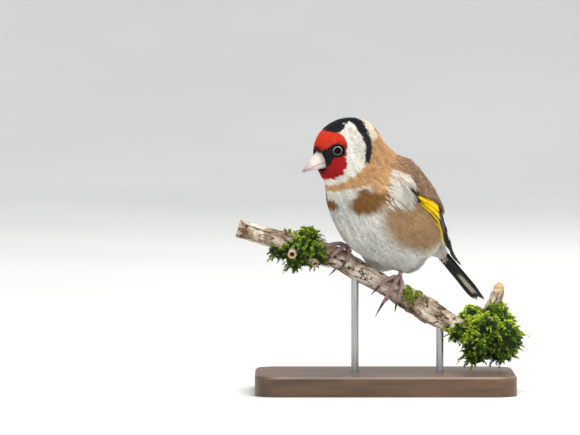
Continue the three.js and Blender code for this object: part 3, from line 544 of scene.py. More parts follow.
def outward(points, triangles):
    """The triangles, turned so that they face out of the closed surface."""
    a, b, c = (points[triangles[:, k]] - points[0] for k in range(3))
    return triangles if dot(a, np.cross(b, c)).sum() > 0 else triangles[:, ::-1]


def closed(rings, first=None, last=None):
    """Points and outward triangles of rings (rows, columns, 3), closed by a pole at either end."""
    first = rings[0].mean(0) if first is None else first
    last = rings[-1].mean(0) if last is None else last
    points = np.vstack([rings.reshape(-1, 3), first, last])
    return points, outward(points, grid_triangles(*rings.shape[:2]))


def along_rings(values, columns):
    """Values given once for each ring, repeated for its points and the two poles."""
    return np.concatenate([np.repeat(values, columns), [values[0], values[-1]]])


def joined(parts):
    """Points and triangles of several surfaces as one."""
    shifts = np.cumsum([0] + [len(points) for points, _ in parts[:-1]])
    return np.vstack([p for p, _ in parts]), np.vstack([t + k for (_, t), k in zip(parts, shifts)])


def ring_ways(path, reference, sides):
    """Directions round a path, from a reference direction that is square to it at every place."""
    way = unit(np.gradient(path, axis=0))
    across = unit(reference - dot(way, np.asarray(reference, float)) * way)
    other = np.cross(way, across)
    turn = turns(sides)
    return across[:, None] * np.cos(turn)[:, None] + other[:, None] * np.sin(turn)[:, None]


BLADE_FACES = np.array([(0, 2, 1), (0, 1, 3), (1, 4, 3), (1, 2, 4), (2, 5, 4), (2, 0, 5), (0, 3, 5),
                        (3, 4, 6), (4, 5, 6), (5, 3, 6)])


def blades(roots, way, out, length, width, lift, droop):
    """Closed three-sided tapering blades. Each leaves its root along way, rises by lift at its widest
    place, and sinks again by droop at its tip. Returns their points, seven a blade, and triangles."""
    side = unit(np.cross(out, way))
    sizes = (np.broadcast_to(x, len(roots))[:, None] for x in (length, width, lift, droop))
    length, width, lift, droop = sizes
    low = roots - out * 0.25
    middle = roots + way * length * 0.45 + out * lift
    tip = roots + way * length + out * (lift - droop)
    ridge = out * width * 0.34
    points = np.stack([
        low - side * width * 0.35, low + side * width * 0.35, low + ridge,
        middle - side * width * 0.5, middle + side * width * 0.5, middle + ridge, tip,
    ], 1)
    triangles = (BLADE_FACES[None] + (np.arange(len(roots)) * 7)[:, None, None]).reshape(-1, 3)
    first = points[0] - points[0, 0]
    a, b, c = (first[BLADE_FACES[:, k]] for k in range(3))
    if dot(a, np.cross(b, c)).sum() < 0:
        triangles = triangles[:, ::-1]
    return points.reshape(-1, 3), triangles


def blade_colours(colour, root=0.55, middle=1.0, tip=1.15):
    """A blade's colours: darker at its root, partly its own darker base and partly painted shade deep in the
    coat, and lighter at its tip as painted light, and less so on pale blades.
    """
    # Painted shade at the root and painted light at the tip, with the root's own darker base
    shade = np.array([root] * 3 + [middle] * 3 + [tip])
    shade = mix(shade, 1, 0.5 * colour.mean(-1, keepdims=True))
    return (colour[:, None] * shade[..., None]).reshape(-1, 3)


# Materials


class Tree:
    """A node tree being written."""

    def __init__(self, tree):
        self.tree = tree

    def put(self, kind, inputs=None, **values):
        """Add a node, set its values, and link or set its inputs."""
        node = self.tree.nodes.new("ShaderNode" + kind)
        for key, value in values.items():
            setattr(node, key, value)
        for key, value in (inputs or {}).items():
            if isinstance(value, bpy.types.NodeSocket):
                self.tree.links.new(value, node.inputs[key])
            else:
                node.inputs[key].default_value = value
        return node


def ramp(tree, factor, stops):
    """A colour ramp of (place, colour) stops over a factor."""
    node = tree.put("ValToRGB", {"Fac": factor})
    elements = node.color_ramp.elements
    while len(elements) < len(stops):
        elements.new(0.5)
    for element, (place, colour) in zip(elements, stops):
        element.position = place
        element.color = (*colour[:3], 1)
    return node.outputs["Color"]


def mottle_group():
    """A node group that varies a colour by noise in object space."""
    name = "Mottle"
    if name in bpy.data.node_groups:
        return bpy.data.node_groups[name]
    group = bpy.data.node_groups.new(name, "ShaderNodeTree")
    group.interface.new_socket("Color", in_out="INPUT", socket_type="NodeSocketColor")
    for key, value in (("Scale", 400.0), ("Amount", 0.2)):
        group.interface.new_socket(key, in_out="INPUT", socket_type="NodeSocketFloat").default_value = value
    group.interface.new_socket("Color", in_out="OUTPUT", socket_type="NodeSocketColor")
    group.interface.new_socket("Height", in_out="OUTPUT", socket_type="NodeSocketFloat")
    tree = Tree(group)
    given = group.nodes.new("NodeGroupInput")
    place = tree.put("TexCoord")
    grain = tree.put("TexNoise", {"Vector": place.outputs["Object"], "Scale": given.outputs["Scale"],
                                  "Detail": 4.0})
    low = tree.put("Math", {0: 1.0, 1: given.outputs["Amount"]}, operation="SUBTRACT")
    high = tree.put("Math", {0: 1.0, 1: given.outputs["Amount"]}, operation="ADD")
    value = tree.put("MapRange", {"Value": grain.outputs["Fac"], "From Min": 0.3, "From Max": 0.7,
                                  "To Min": low.outputs[0], "To Max": high.outputs[0]})
    scaled = tree.put("VectorMath", {0: given.outputs["Color"], "Scale": value.outputs["Result"]},
                      operation="SCALE")
    result = group.nodes.new("NodeGroupOutput")
    group.links.new(scaled.outputs["Vector"], result.inputs["Color"])
    group.links.new(grain.outputs["Fac"], result.inputs["Height"])
    return group


def material(name, build):
    """A procedural material. build(tree) returns its colour, the Principled BSDF's other values, and a height
    for bumps, or None, with its distance in metres."""
    if name in bpy.data.materials:
        return bpy.data.materials[name]
    made = bpy.data.materials.new(name)
    made.use_nodes = True
    made.node_tree.nodes.clear()
    tree = Tree(made.node_tree)
    colour, values, height, distance = build(tree)
    values = dict(values)
    if height is not None:
        bump = tree.put("Bump", {"Height": height, "Distance": distance, "Strength": 0.6})
        values["Normal"] = bump.outputs["Normal"]
    shader = tree.put("BsdfPrincipled", {"Base Color": colour, **values})
    tree.put("OutputMaterial", {"Surface": shader.outputs["BSDF"]})
    return made


def mottled(tree, colour, scale, amount):
    """A colour varied by the Mottle group, and the group's height."""
    node = tree.tree.nodes.new("ShaderNodeGroup")
    node.node_tree = mottle_group()
    if isinstance(colour, bpy.types.NodeSocket):
        tree.tree.links.new(colour, node.inputs["Color"])
    else:
        node.inputs["Color"].default_value = (*colour[:3], 1)
    node.inputs["Scale"].default_value = scale
    node.inputs["Amount"].default_value = amount
    return node.outputs["Color"], node.outputs["Height"]


def attribute(tree, name, kind):
    """An attribute's Color, Vector or Fac output."""
    return tree.put("Attribute", attribute_name=name).outputs[kind]


def coat_material():
    """Soft barbs: the coat's own colours, matte with a faint sheen."""

    def build(tree):
        colour, height = mottled(tree, attribute(tree, "Coat", "Color"), 2600.0, 0.16)
        finish = {"Roughness": 0.78, "Specular IOR Level": 0.25, "Sheen Weight": 0.12, "Sheen Roughness": 0.4}
        return colour, finish, height, 0.0001

    return material("Body feathers", build)


def vane_material():
    """Flight feathers: fine barbs that slant off a darker shaft, with a low gloss. Vane holds millimetres
    along the feather and off its shaft."""

    def build(tree):
        vane = tree.put("SeparateXYZ", {"Vector": attribute(tree, "Vane", "Vector")})
        off = tree.put("Math", {0: vane.outputs["Y"]}, operation="ABSOLUTE")
        slant = tree.put("Math", {0: off.outputs[0], 1: -1.5, 2: vane.outputs["X"]}, operation="MULTIPLY_ADD")
        barb = tree.put("Math", {0: slant.outputs[0], 1: 22.0}, operation="MULTIPLY")
        wave = tree.put("Math", {0: barb.outputs[0]}, operation="SINE")
        shaft = tree.put("MapRange", {"Value": off.outputs[0], "From Min": 0.07, "From Max": 0.16})
        barbs = tree.put("MapRange", {"Value": wave.outputs[0], "From Min": -1.0, "From Max": 1.0,
                                      "To Min": 0.84, "To Max": 1.12})
        dim = tree.put("MapRange", {"Value": shaft.outputs["Result"], "To Min": 0.45, "To Max": 1.0})
        both = tree.put("Math", {0: barbs.outputs["Result"], 1: dim.outputs["Result"]}, operation="MULTIPLY")
        colour, _ = mottled(tree, attribute(tree, "Coat", "Color"), 900.0, 0.14)
        shaded = tree.put("VectorMath", {0: colour, "Scale": both.outputs[0]}, operation="SCALE")
        finish = {"Roughness": 0.55, "Specular IOR Level": 0.12}
        return shaded.outputs["Vector"], finish, wave.outputs[0], 0.00003

    return material("Flight feathers", build)


# Pieces


def coat_depth(points):
    """How thick the coat is: thin on the face, thickest on the body."""
    look = settings()
    away = np.linalg.norm(points - BILL.origin, axis=-1)
    return mix(look.face_coat / MM, look.body_coat / MM, smooth(6, 24, away))


def set_back(points):
    """The face drawn back round the bill's base, so that the horn stands clear of the feathers."""
    bill = BILL.local(points)
    limit = mix(-1.5, 3.5, smooth(3.9, 5.4, np.hypot(bill[..., 1], bill[..., 2])))
    bill[..., 0] = np.minimum(bill[..., 0], limit)
    return BILL.at(bill)


@functools.cache
def surface_table(rows=250, columns=264):
    """The coat's outer surface on a grid, shared by the skin and the coat: v, turn, points, normals, and the
    directions along the spine."""
    v, turn = np.meshgrid(np.linspace(0, 1, rows + 2)[1:-1], turns(columns), indexing="ij")
    points, forward = body_surface(v, turn)
    return v, turn, set_back(points), out_of_body(points), forward


PATCH = np.array([(-1, -1), (1, -1), (0, -0.9), (-1, 0), (1, 0), (0, 0.1), (0, 1)]) * 0.0015


def patches(centres):
    """A small patch of the OFBake map for each blade, at its root's place."""
    return (centres[:, None] + PATCH).reshape(-1, 2)


def build_skin():
    """One closed skin below the coat, as deep as the coat is thick, with the coat's markings."""
    v, turn, points, out, _ = surface_table()
    rings = points - out * coat_depth(points)[..., None]
    points, triangles = closed(rings)
    flat = np.stack([turn / (2 * np.pi), v], -1).reshape(-1, 2)
    homes = np.vstack([flat, [(0.5, 0), (0.5, 1)]])
    # The markings are darkened to 0.8 as painted shade under the coat's feathers
    mesh_object("bird_skin", points, triangles, coat_material(), "plumage",
                ("head", "neck", "torso", "tail_coverts"), 0.8 * markings(points), homes=homes)


def eye_seat(side):
    """Where an eye meets the head's surface, and the way it looks out: the first point outside the body on a
    straight line to the side."""
    reach = np.arange(4, 14, 0.02)
    ahead, up = (np.full_like(reach, share) for share in EYE_IN_HEAD)
    line = HEAD.at(np.stack([ahead, side * reach, up], -1))
    surface = line[np.argmax(body_distance(line) >= 0)]
    return surface, out_of_body(surface[None])[0]


def lie(points, out, forward):
    """The way the feathers lie: off the bill's base over the head, then down the neck and body to the
    tail."""
    from_bill = points - HEAD.at((13, 0, -1))
    near = smooth(20, 9, np.linalg.norm(from_bill, axis=-1))[..., None]
    on_head = smooth(24, 12, np.linalg.norm(points - HEAD.origin, axis=-1))[..., None]
    way = unit(from_bill) * mix(0.35, 1.2, near) - forward * mix(1.0, 0.15, near)
    way = way + 0.3 * HEAD.turn((-1, 0, 0)) * on_head
    return unit(way - dot(way, out) * out)


def scatter(rng, weights, count):
    """Places on the surface table: evenly drawn cells by weight, and a place within each."""
    total = np.cumsum(weights.ravel())
    picks = (np.arange(count) + rng.random(count)) / count * total[-1]
    cell = np.minimum(np.searchsorted(total, picks), weights.size - 1)
    return *np.unravel_index(cell, weights.shape), rng.random(count), rng.random(count)


def at_cells(field, i, j, p, q):
    """A field of the surface table at places within its cells."""
    k = (j + 1) % field.shape[1]
    p, q = (x.reshape(-1, *[1] * (field.ndim - 2)) for x in (p, q))
    return mix(mix(field[i, j], field[i, k], q), mix(field[i + 1, j], field[i + 1, k], q), p)


def hidden_by_wings(points):
    """1 where the coat lies deep under a folded wing."""
    a, b = np.meshgrid(np.linspace(0.14, 0.6, 24), np.linspace(0.2, 0.86, 16), indexing="ij")
    hidden = np.zeros(len(points), bool)
    for side in (1, -1):
        sheet = wing_sheet(side, a.ravel(), b.ravel(), np.zeros(a.size), np.zeros(a.size))
        for start in range(0, len(points), 20000):
            part = points[start:start + 20000]
            gap = np.linalg.norm(part[:, None] - sheet[None], axis=-1).min(1)
            hidden[start:start + 20000] |= gap < 2.2
    return hidden


def coat_roots(rng):
    """Where the body feathers root on the coat's outer surface: denser towards the bill, and none deep
    under the wings, on the eyes or in the bill. Returns points, outward and forward directions, v, turn,
    and the distance from the nearer eye."""
    v, turn, table, out_table, forward_table = surface_table()
    right, down = np.roll(table, -1, 1)[:-1] - table[:-1], table[1:] - table[:-1]
    area = np.linalg.norm(np.cross(right, down), axis=-1)
    away = np.linalg.norm(table - BILL.origin, axis=-1)[:-1]
    blocked = hidden_by_wings(table[:-1].reshape(-1, 3)).reshape(area.shape)
    weights = area * mix(26, 9.5, smooth(6, 22, away)) * np.where(blocked, 0, 1)
    i, j, p, q = scatter(rng, weights, int(settings().feather_count))
    roots = at_cells(table, i, j, p, q)
    out = unit(at_cells(out_table, i, j, p, q))
    forward = unit(at_cells(forward_table, i, j, p, q))
    v_home = at_cells(v, i, j, p, q)
    turn_home = turn[i, j] + q * 2 * np.pi / turn.shape[1]
    from_eye = np.min([np.linalg.norm(roots - eye_seat(side)[0], axis=-1) for side in (1, -1)], 0)
    bill = BILL.local(roots)
    in_bill = (bill[:, 0] > -1.65) & (np.hypot(bill[:, 1], bill[:, 2]) < 4.3)
    keep = (from_eye > 2.35) & ~in_bill
    return [x[keep] for x in (roots, out, forward, v_home, turn_home, from_eye)]


def coat_lengths(away, body, from_eye):
    """Feather lengths: 0.9 at the bill, growing to 6.0 over the body and 6.6 low on the belly, and shorter
    at the eyes and under the tail."""
    low = smooth(-6, -16, body[:, 2]) * smooth(12, 0, body[:, 0])
    length = mix(0.9, 1.9, smooth(2, 10, away))
    length = mix(length, 4.2, smooth(18, 30, away))
    length = mix(length, 6.0, smooth(28, 44, away))
    length = mix(length, 6.6, low) * (1 - 0.5 * smooth(4.2, 2.4, from_eye))
    return mix(length, 4.2, smooth(-24, -32, body[:, 0]))


def coat_regions(roots, body, away):
    """The coat's pieces in order, each with its mask. A feather goes to the first piece whose mask has it."""
    dorsal = 0.77 * body[:, 2] - 0.64 * body[:, 0]
    from_head = np.linalg.norm(roots - HEAD.origin, axis=-1)
    return {
        "coat_face": away < 12,
        "coat_head_left": (from_head < 15.5) & (HEAD.local(roots)[:, 1] > 0),
        "coat_head_right": from_head < 15.5,
        "coat_back_left": (dorsal > 6) & (body[:, 1] > 0),
        "coat_back_right": dorsal > 6,
        "coat_breast": body[:, 0] > 12,
        "coat_belly_left": (body[:, 1] > 0) & (body[:, 0] > -14),
        "coat_belly_right": (body[:, 1] <= 0) & (body[:, 0] > -14),
        "coat_vent": np.ones(len(roots), bool),
    }


def build_coat():
    """Body feathers as thin closed blades over the skin, short and fine on the face, long on the flanks and
    vent, each with the skin's markings at its middle."""
    rng = np.random.default_rng(11)
    roots, out, forward, v_home, turn_home, from_eye = coat_roots(rng)
    n = len(roots)
    away = np.linalg.norm(roots - BILL.origin, axis=-1)
    body = BODY.local(roots)
    length = coat_lengths(away, body, from_eye) * (0.7 + 0.6 * rng.random(n))
    width = mix(0.22, 0.36, smooth(6, 26, away)) * (0.75 + 0.5 * rng.random(n))
    way = lie(roots, out, forward)
    stray = 0.14 * noise(roots, 2.6, 21)[:, None] + 0.07 * rng.standard_normal((n, 1))
    way = unit(way + np.cross(out, way) * stray + out * 0.02)
    depth = coat_depth(roots)
    sunk = roots - out * (depth * (0.95 - 0.3 * rng.random(n)))[:, None]
    lift = depth * (0.7 + 0.3 * rng.random(n))
    droop = lift * 0.15 + length ** 2 / mix(26, 56, smooth(20, 34, away))
    colour = markings(roots + way * (length * 0.55)[:, None]) * (1 + 0.10 * rng.standard_normal((n, 1)))
    round_spine = np.stack([np.cos(turn_home) * 16, np.sin(turn_home) * 16, v_home * 22], -1)
    streaks = 0.20 * noise(round_spine, 1.0, 27) * smooth(6, 14, away) + 0.08 * noise(roots, 1.7, 23)
    colour = np.clip(colour * (1 + streaks)[:, None], 0.002, 1)
    # Wispy white feathers over the wing's front edge
    offset = np.stack([body[:, 0] - 9.5, np.abs(body[:, 1]) - 15, body[:, 2] - 9.0], -1) / (6.5, 3.6, 6.5)
    near = np.exp(-(offset ** 2).sum(-1))
    streak = noise(roots + way * 2, 1.1, 25)
    wisp = rng.random(n) < np.clip(1.1 * near + 1.1 * near * streak - 0.28, 0, 0.8)
    colour = np.where(wisp[:, None], colour_of("white") * (0.9 + 0.2 * rng.random((n, 1))), colour)
    length = np.where(wisp, length * (1.3 + 1.3 * near * rng.random(n)), length)
    lift = np.where(wisp, lift + 1.5 * near * rng.random(n), lift)
    taken = np.zeros(n, bool)
    for name, region in coat_regions(roots, body, away).items():
        pick = region & ~taken
        taken |= region
        points, triangles = blades(*(x[pick] for x in (sunk, way, out, length, width, lift, droop)))
        centre = np.stack([turn_home[pick] / (2 * np.pi), v_home[pick]], -1)
        mesh_object(name, points, triangles, coat_material(), "plumage", colours=blade_colours(colour[pick]),
                    homes=patches(centre))


VANE_PLACES = np.array([-1, -0.9, -0.72, -0.5, -0.26, -0.07, 0, 0.07, 0.26, 0.5, 0.72, 0.9, 1])


def vanes(place, count, half, point, stations, thick, seed):
    """Closed feathers, from place(s, w, k): their middle surface at s along and w millimetres off the shaft
    for feather k. Each is narrow at the root and rounded at the tip, thin at its edges and ridged at its
    shaft, with edges that noise frays. Returns points, triangles, and Vane values."""
    s = np.linspace(0, 1, stations) ** 0.85
    k, s, w = np.meshgrid(np.arange(count), s, VANE_PLACES, indexing="ij")
    half = np.broadcast_to(half, count)[k]
    start = 1 - point
    tip = np.sqrt(np.clip(1 - (np.clip(s - start, 0, 1) / point) ** 2, 0.012, 1))
    fray = noise(np.stack([s * 60, k * 7.0, np.sign(w) * 5 + seed], -1), 1.6, seed)
    width = half * (0.45 + 0.55 * smooth(0, 0.3, s)) * tip * (1 + 0.05 * fray * smooth(0.2, 0.8, s))
    middle = place(s, w * width, k)
    ahead = np.gradient(middle, axis=1)
    across = np.gradient(middle, axis=2)
    normal = unit(np.cross(ahead, across))
    body = thick * (0.10 + 0.32 * (1 - w ** 2)) + 0.09 * (np.abs(w) < 0.05) * (1 - 0.8 * s)
    top, under = middle + normal * body[..., None], middle - normal * body[..., None]
    rings = np.concatenate([top, under[:, :, -2:0:-1]], 2)
    length = np.linalg.norm(np.diff(middle[:, :, 6], axis=1), axis=-1).sum(1)
    values = np.stack([s * length[:, None, None], w * width, k], -1)
    values = np.concatenate([values, values[:, :, -2:0:-1]], 2)
    points, triangles = joined([closed(ring) for ring in rings])
    poles = [np.vstack([one.reshape(-1, 3), one[0].mean(0), one[-1].mean(0)]) for one in values]
    return points, triangles, np.vstack(poles)


def wing_tiers():
    """The wing's tiers, each with its count, a function of k from 0 (lower edge) to 1 (back) that gives root,
    tip, layers, half width, and the shape of its tip."""
    return {
        "primary": (8, lambda k: ((0.4, mix(0.05, 0.26, k)), (mix(1.0, 0.74, k ** 0.8), mix(0.3, 0.56, k)),
                                  (0.4 * k, 0.5 * k), 1.35, 0.3, 44)),
        "secondary": (6, lambda k: ((0.38, mix(0.3, 0.6, k)), (mix(0.72, 0.66, k), mix(0.46, 0.74, k)),
                                    (0.6, 0.65 + 0.3 * k), 1.6, 0.22, 34)),
        "tertial": (3, lambda k: ((0.33, mix(0.66, 0.87, k)), (mix(0.69, 0.54, k), mix(0.68, 0.9, k)),
                                  (1.0, 1.25 + 0.2 * k), 2.5, 0.3, 30)),
        "primary_covert": (5, lambda k: ((0.24, mix(0.05, 0.2, k)), (mix(0.50, 0.42, k), mix(0.06, 0.26, k)),
                                         (0.9, 1.1 + 0.1 * k), 1.15, 0.35, 22)),
        "greater_covert": (9, lambda k: ((0.23, mix(0.2, 0.84, k)), (mix(0.42, 0.37, k), mix(0.28, 0.87, k)),
                                         (1.3, 1.6 + 0.2 * k), 1.35, 0.35, 20)),
        "median_covert": (8, lambda k: ((0.13, mix(0.12, 0.84, k)), (mix(0.28, 0.255, k), mix(0.17, 0.86, k)),
                                        (1.1, 1.8 + 0.1 * k), 1.35, 0.45, 18)),
        "lesser_covert": (8, lambda k: ((0.05, mix(0.14, 0.8, k)), (mix(0.19, 0.17, k), mix(0.17, 0.82, k)),
                                        (1.0, 1.9 + 0.1 * k), 1.5, 0.5, 16)),
        "scapular_low": (9, lambda k: ((mix(0.0, 0.22, k), mix(0.62, 0.6, k)),
                                       (mix(0.2, 0.42, k), mix(0.56, 0.6, k)),
                                       (1.2 + 0.2 * k, 1.7 + 0.1 * k), 2.6, 0.5, 18)),
        "scapular": (10, lambda k: ((mix(0.0, 0.26, k), 0.88), (mix(0.22, 0.48, k), mix(0.84, 0.88, k)),
                                    (1.2 + 0.2 * k, 1.8 + 0.1 * k), 2.8, 0.5, 18)),
    }


def wing_colours(tier, a, b, values, length, points):
    """Black, with yellow over the flight feathers' bases and the greater coverts' tips, whitish spots at the
    flight feathers' tips, and grey-brown scapulars."""
    along, off, _ = values.T
    near_tip = length - along
    fray = 0.35 * noise(points, 1.1, 31) + 0.2 * noise(points, 0.5, 32)
    colour = colour_of("wing_black") * (1 + 0.25 * noise(points, 2.0, 33))[:, None]
    low = np.interp(a, [0.2, 0.28, 0.4, 0.7], [0.11, 0.06, 0.04, 0.04])
    high = np.interp(a, [0.2, 0.34, 0.5, 0.7], [0.20, 0.31, 0.26, 0.17])
    high = np.where(tier == "greater_covert", 0.36, high)
    bar = smooth(0.19, 0.22, a + 0.012 * fray) * smooth(0.70, 0.66, a + 0.02 * fray)
    bar = bar * smooth(-0.01, 0.012, b - low) * smooth(0.015, -0.015, b - high - 0.02 * fray)
    shoulder = tier.startswith("scapular")
    if not shoulder:
        colour = paint(colour, "wing_yellow", bar)
    if tier in ("primary", "secondary"):
        spot = smooth(1.9, 1.2, near_tip + fray) * smooth(-0.4, 0.1, off + 0.4)
        colour = paint(colour, "white", spot * 0.9)
    if tier == "tertial":
        spot = smooth(3.4, 2.2, near_tip + fray + 0.9 * np.abs(off))
        colour = paint(colour, "white", spot * 0.9)
    edge = np.interp(a, [0, 0.2, 0.3, 0.42], [0.12, 0.2, 0.36, 0.5])
    brown = smooth(-0.02, 0.05, b - edge + 0.03 * fray) * smooth(0.52, 0.46, a)
    brown = brown * (tier not in ("primary", "secondary", "tertial"))
    brown = np.maximum(brown, float(shoulder))[:, None]
    streaked = colour_of("mantle") * mix(0.72, 1.1, smooth(0.2, 1.6, np.abs(off) + fray))[:, None]
    return mix(colour, streaked, brown)


def build_wing(name, side):
    """A folded wing: tiers of overlapping feathers on its sheet, each tilted over its lower neighbour."""
    parts, colours, vane_values = [], [], []
    for seed, (tier, (count, describe)) in enumerate(wing_tiers().items()):
        shares = np.arange(count) / (count - 1)
        rows = [describe(k) for k in shares]
        root, tip, layers = (np.array([row[n] for row in rows], float) for n in range(3))
        half, point, stations = rows[0][3:]

        def spots(s, k):
            """Places on the sheet, straight from root to tip."""
            return mix(root[k, 0], tip[k, 0], s), mix(root[k, 1], tip[k, 1], s)

        def place(s, w, k):
            """Places in the world, bowed across the feather."""
            a, b = spots(s, k)
            layer = mix(layers[k, 0], layers[k, 1], s) - (0.16 * w + 0.05 * w ** 2) / half + 0.012 * k
            return wing_sheet(side, a, b, w, layer)

        points, triangles, values = vanes(place, count, half, point, stations, 0.42, seed + 1)
        k = np.rint(values[:, 2]).astype(int)
        longest = np.array([values[k == n, 0].max() for n in range(count)])
        a, b = spots(values[:, 0] / longest[k], k)
        colours.append(wing_colours(tier, a, b, values, longest[k], points))
        parts.append((points, triangles))
        vane_values.append(values)
    points, triangles = joined(parts)
    mesh_object(name, points, triangles, vane_material(), "flight_feathers",
                (name.replace("feathers", "wing"),), np.vstack(colours), {"Vane": np.vstack(vane_values)})


def build_wing_core(name, side):
    """The wing's own thickness under its feathers, which their roots sink into."""
    a, b = np.meshgrid(np.linspace(-0.02, 0.6, 40), np.linspace(0.03, 0.94, 24), indexing="ij")
    top = wing_sheet(side, a, b, 0 * a, 0.2 + 0.8 * np.sin(np.pi * b))
    under = wing_sheet(side, a, b, 0 * a, np.full(a.shape, -0.4))
    points, triangles = closed(np.concatenate([top, under[:, ::-1]], 1))
    # Black darkened to 0.8 as painted shade under the feathers
    colours = np.broadcast_to(colour_of("wing_black"), points.shape) * 0.8
    mesh_object(name, points, triangles, coat_material(), "flight_feathers", colours=colours)


def sheet_tufts(rng, side, a, b, layer, length, tone, down=0.0):
    """Blades rooted on a wing's sheet that run towards its tip, turned down by a share. Returns their points,
    triangles, colours and places on the OFBake map."""
    n = len(a)
    still = np.zeros(n)
    roots = wing_sheet(side, a, b, still, layer)
    out = unit(wing_sheet(side, a, b, still, layer + 0.5) - roots)
    ahead = unit(wing_sheet(side, a + 0.02, b, still, layer) - roots)
    low = unit(wing_sheet(side, a, b, still - 0.3, layer) - roots)
    way = unit(ahead + down * low + 0.08 * rng.standard_normal((n, 3)))
    lift = 0.2 + 0.5 * rng.random(n)
    surface = blades(roots, way, out, length, 0.34 + 0.2 * rng.random(n), lift, lift * 0.4 + length ** 2 / 70)
    return surface, blade_colours(np.clip(tone, 0.002, 1)), patches(np.stack([a, b], -1))


def build_scapulars(name, side):
    """Soft brown feathers that hide the front half of the folded wing above its black edge, and loose white
    wisps that fall over its front, both rooted on its sheet."""
    rng = np.random.default_rng(31)
    n = 9000
    a = -0.02 + 0.50 * rng.random(n) ** 0.9
    b = mix(np.interp(a, [0, 0.2, 0.3, 0.42, 0.5], [0.12, 0.2, 0.36, 0.52, 0.7]), 1.0, rng.random(n))
    tuft = noise(np.stack([a * 40, b * 14, 0 * a], -1), 1.8, 34)[:, None]
    tone = colour_of("mantle") * (1 + 0.2 * tuft + 0.14 * rng.standard_normal((n, 1)))
    tone = mix(tone, colour_of("collar"), 0.35 * smooth(0.08, -0.02, a)[:, None])
    length = mix(2.6, 4.6, smooth(0, 0.3, a)) * (0.7 + 0.6 * rng.random(n))
    brown = sheet_tufts(rng, side, a, b, np.full(n, 1.7), length, tone)
    n = 900
    a, b = -0.05 + 0.15 * rng.random(n), -0.05 + 0.45 * rng.random(n)
    tuft = noise(np.stack([a * 8, b * 34, 0 * a], -1), 1.6, 35)
    kept = rng.random(n) < 0.5 + 1.3 * tuft - 0.8 * smooth(0.03, 0.1, a)
    a, b, tuft = a[kept], b[kept], tuft[kept]
    tone = mix(colour_of("white"), colour_of("collar"), (0.5 * (rng.random(len(a)) < 0.2))[:, None])
    tone = tone * (0.95 + 0.15 * rng.random((len(a), 1)))
    length = 2.5 + 3.5 * rng.random(len(a)) + 3 * np.clip(tuft, 0, 1)
    white = sheet_tufts(rng, side, a, b, 1.6 + 0.9 * rng.random(len(a)), length, tone, 0.5)
    points, triangles = joined([brown[0], white[0]])
    mesh_object(name, points, triangles, coat_material(), "plumage", colours=np.vstack([brown[1], white[1]]),
                homes=np.vstack([brown[2], white[2]]))


def build_tail():
    """Twelve tail feathers in pairs, the middle pair on top and the outer ones lower and longer."""
    slope = np.radians(TAIL_SLOPE)
    order = [(pair, side) for pair in range(6) for side in (1, -1)]
    pairs, sides = np.array(order).T
    lengths = TAIL_LENGTH + FEATHERS_PAST_TAIL - TAIL_FORK * (1 - pairs / 5)
    halves = mix(2.3, 2.0, pairs / 5)

    def place(s, w, k):
        """Places in the world: pairs fan out and lie lower by their number."""
        pair, side = pairs[k], sides[k]
        out = mix(0.2 + 0.05 * pair, 0.3 + 0.3 * pair, s)
        drop = 0.24 * (pair - 2.5) + np.where(side < 0, 0.12, 0) + 0.03 * (out + w) ** 2 + 0.10 * w / 2
        back = s * lengths[k]
        local = np.stack([TAIL_ROOT[0] - back * np.cos(slope) + drop * np.sin(slope), side * (out + w),
                          TAIL_ROOT[2] - back * np.sin(slope) - drop * np.cos(slope)], -1)
        return BODY.at(local)

    points, triangles, values = vanes(place, 12, halves, 0.10, 48, 0.34, 9)
    k = np.rint(values[:, 2]).astype(int)
    near_tip = lengths[k] - values[:, 0]
    fray = 0.5 * noise(points, 1.0, 41)
    colour = colour_of("wing_black") * (1 + 0.2 * noise(points, 2.0, 42))[:, None]
    tip = smooth(2.6, 1.6, near_tip + fray + 0.5 * np.abs(values[:, 1]))
    colour = paint(colour, "white", tip * 0.85)
    # The white patches on the outer pairs' inner webs are their own; their greyed colour is painted shade on
    # the webs' undersides
    inner = smooth(-0.1, -0.4, values[:, 1] + fray * 0.3) * smooth(19, 16, near_tip) * smooth(4, 6, near_tip)
    colour = paint(colour, "tail_white_shaded", inner * np.isin(pairs[k], (4, 5)) * 0.95)
    mesh_object("tail_feathers", points, triangles, vane_material(), "flight_feathers", ("tail",), colour,
                {"Vane": values})


def build_eye(name, side):
    """A glossy ball with a dark brown rim to its black middle."""
    surface, look_out = eye_seat(side)
    across = unit(np.cross(look_out, UP))
    ball = ball_grid(48, 64, 0.02) @ np.array([across, np.cross(look_out, across), look_out])
    points, triangles = closed(surface - look_out * EYE_SINK + ball * EYE_RADIUS)
    polar = np.linspace(0.02, np.pi - 0.02, 48)
    tint = along_rings(np.clip(polar / 0.95, 0, 1), 64)

    def build(tree):
        colour = ramp(tree, attribute(tree, "Tint", "Fac"),
                      [(0, (0.001, 0.001, 0.001)), (0.62, (0.0015, 0.001, 0.001)),
                       (0.85, (0.02, 0.008, 0.004)), (1, (0.01, 0.005, 0.003))])
        return colour, {"Roughness": 0.04, "Specular IOR Level": 0.1}, None, 0

    mesh_object(name + "_ball", points, triangles, material("Eye", build), "eye", (name,),
                extras={"Tint": tint})


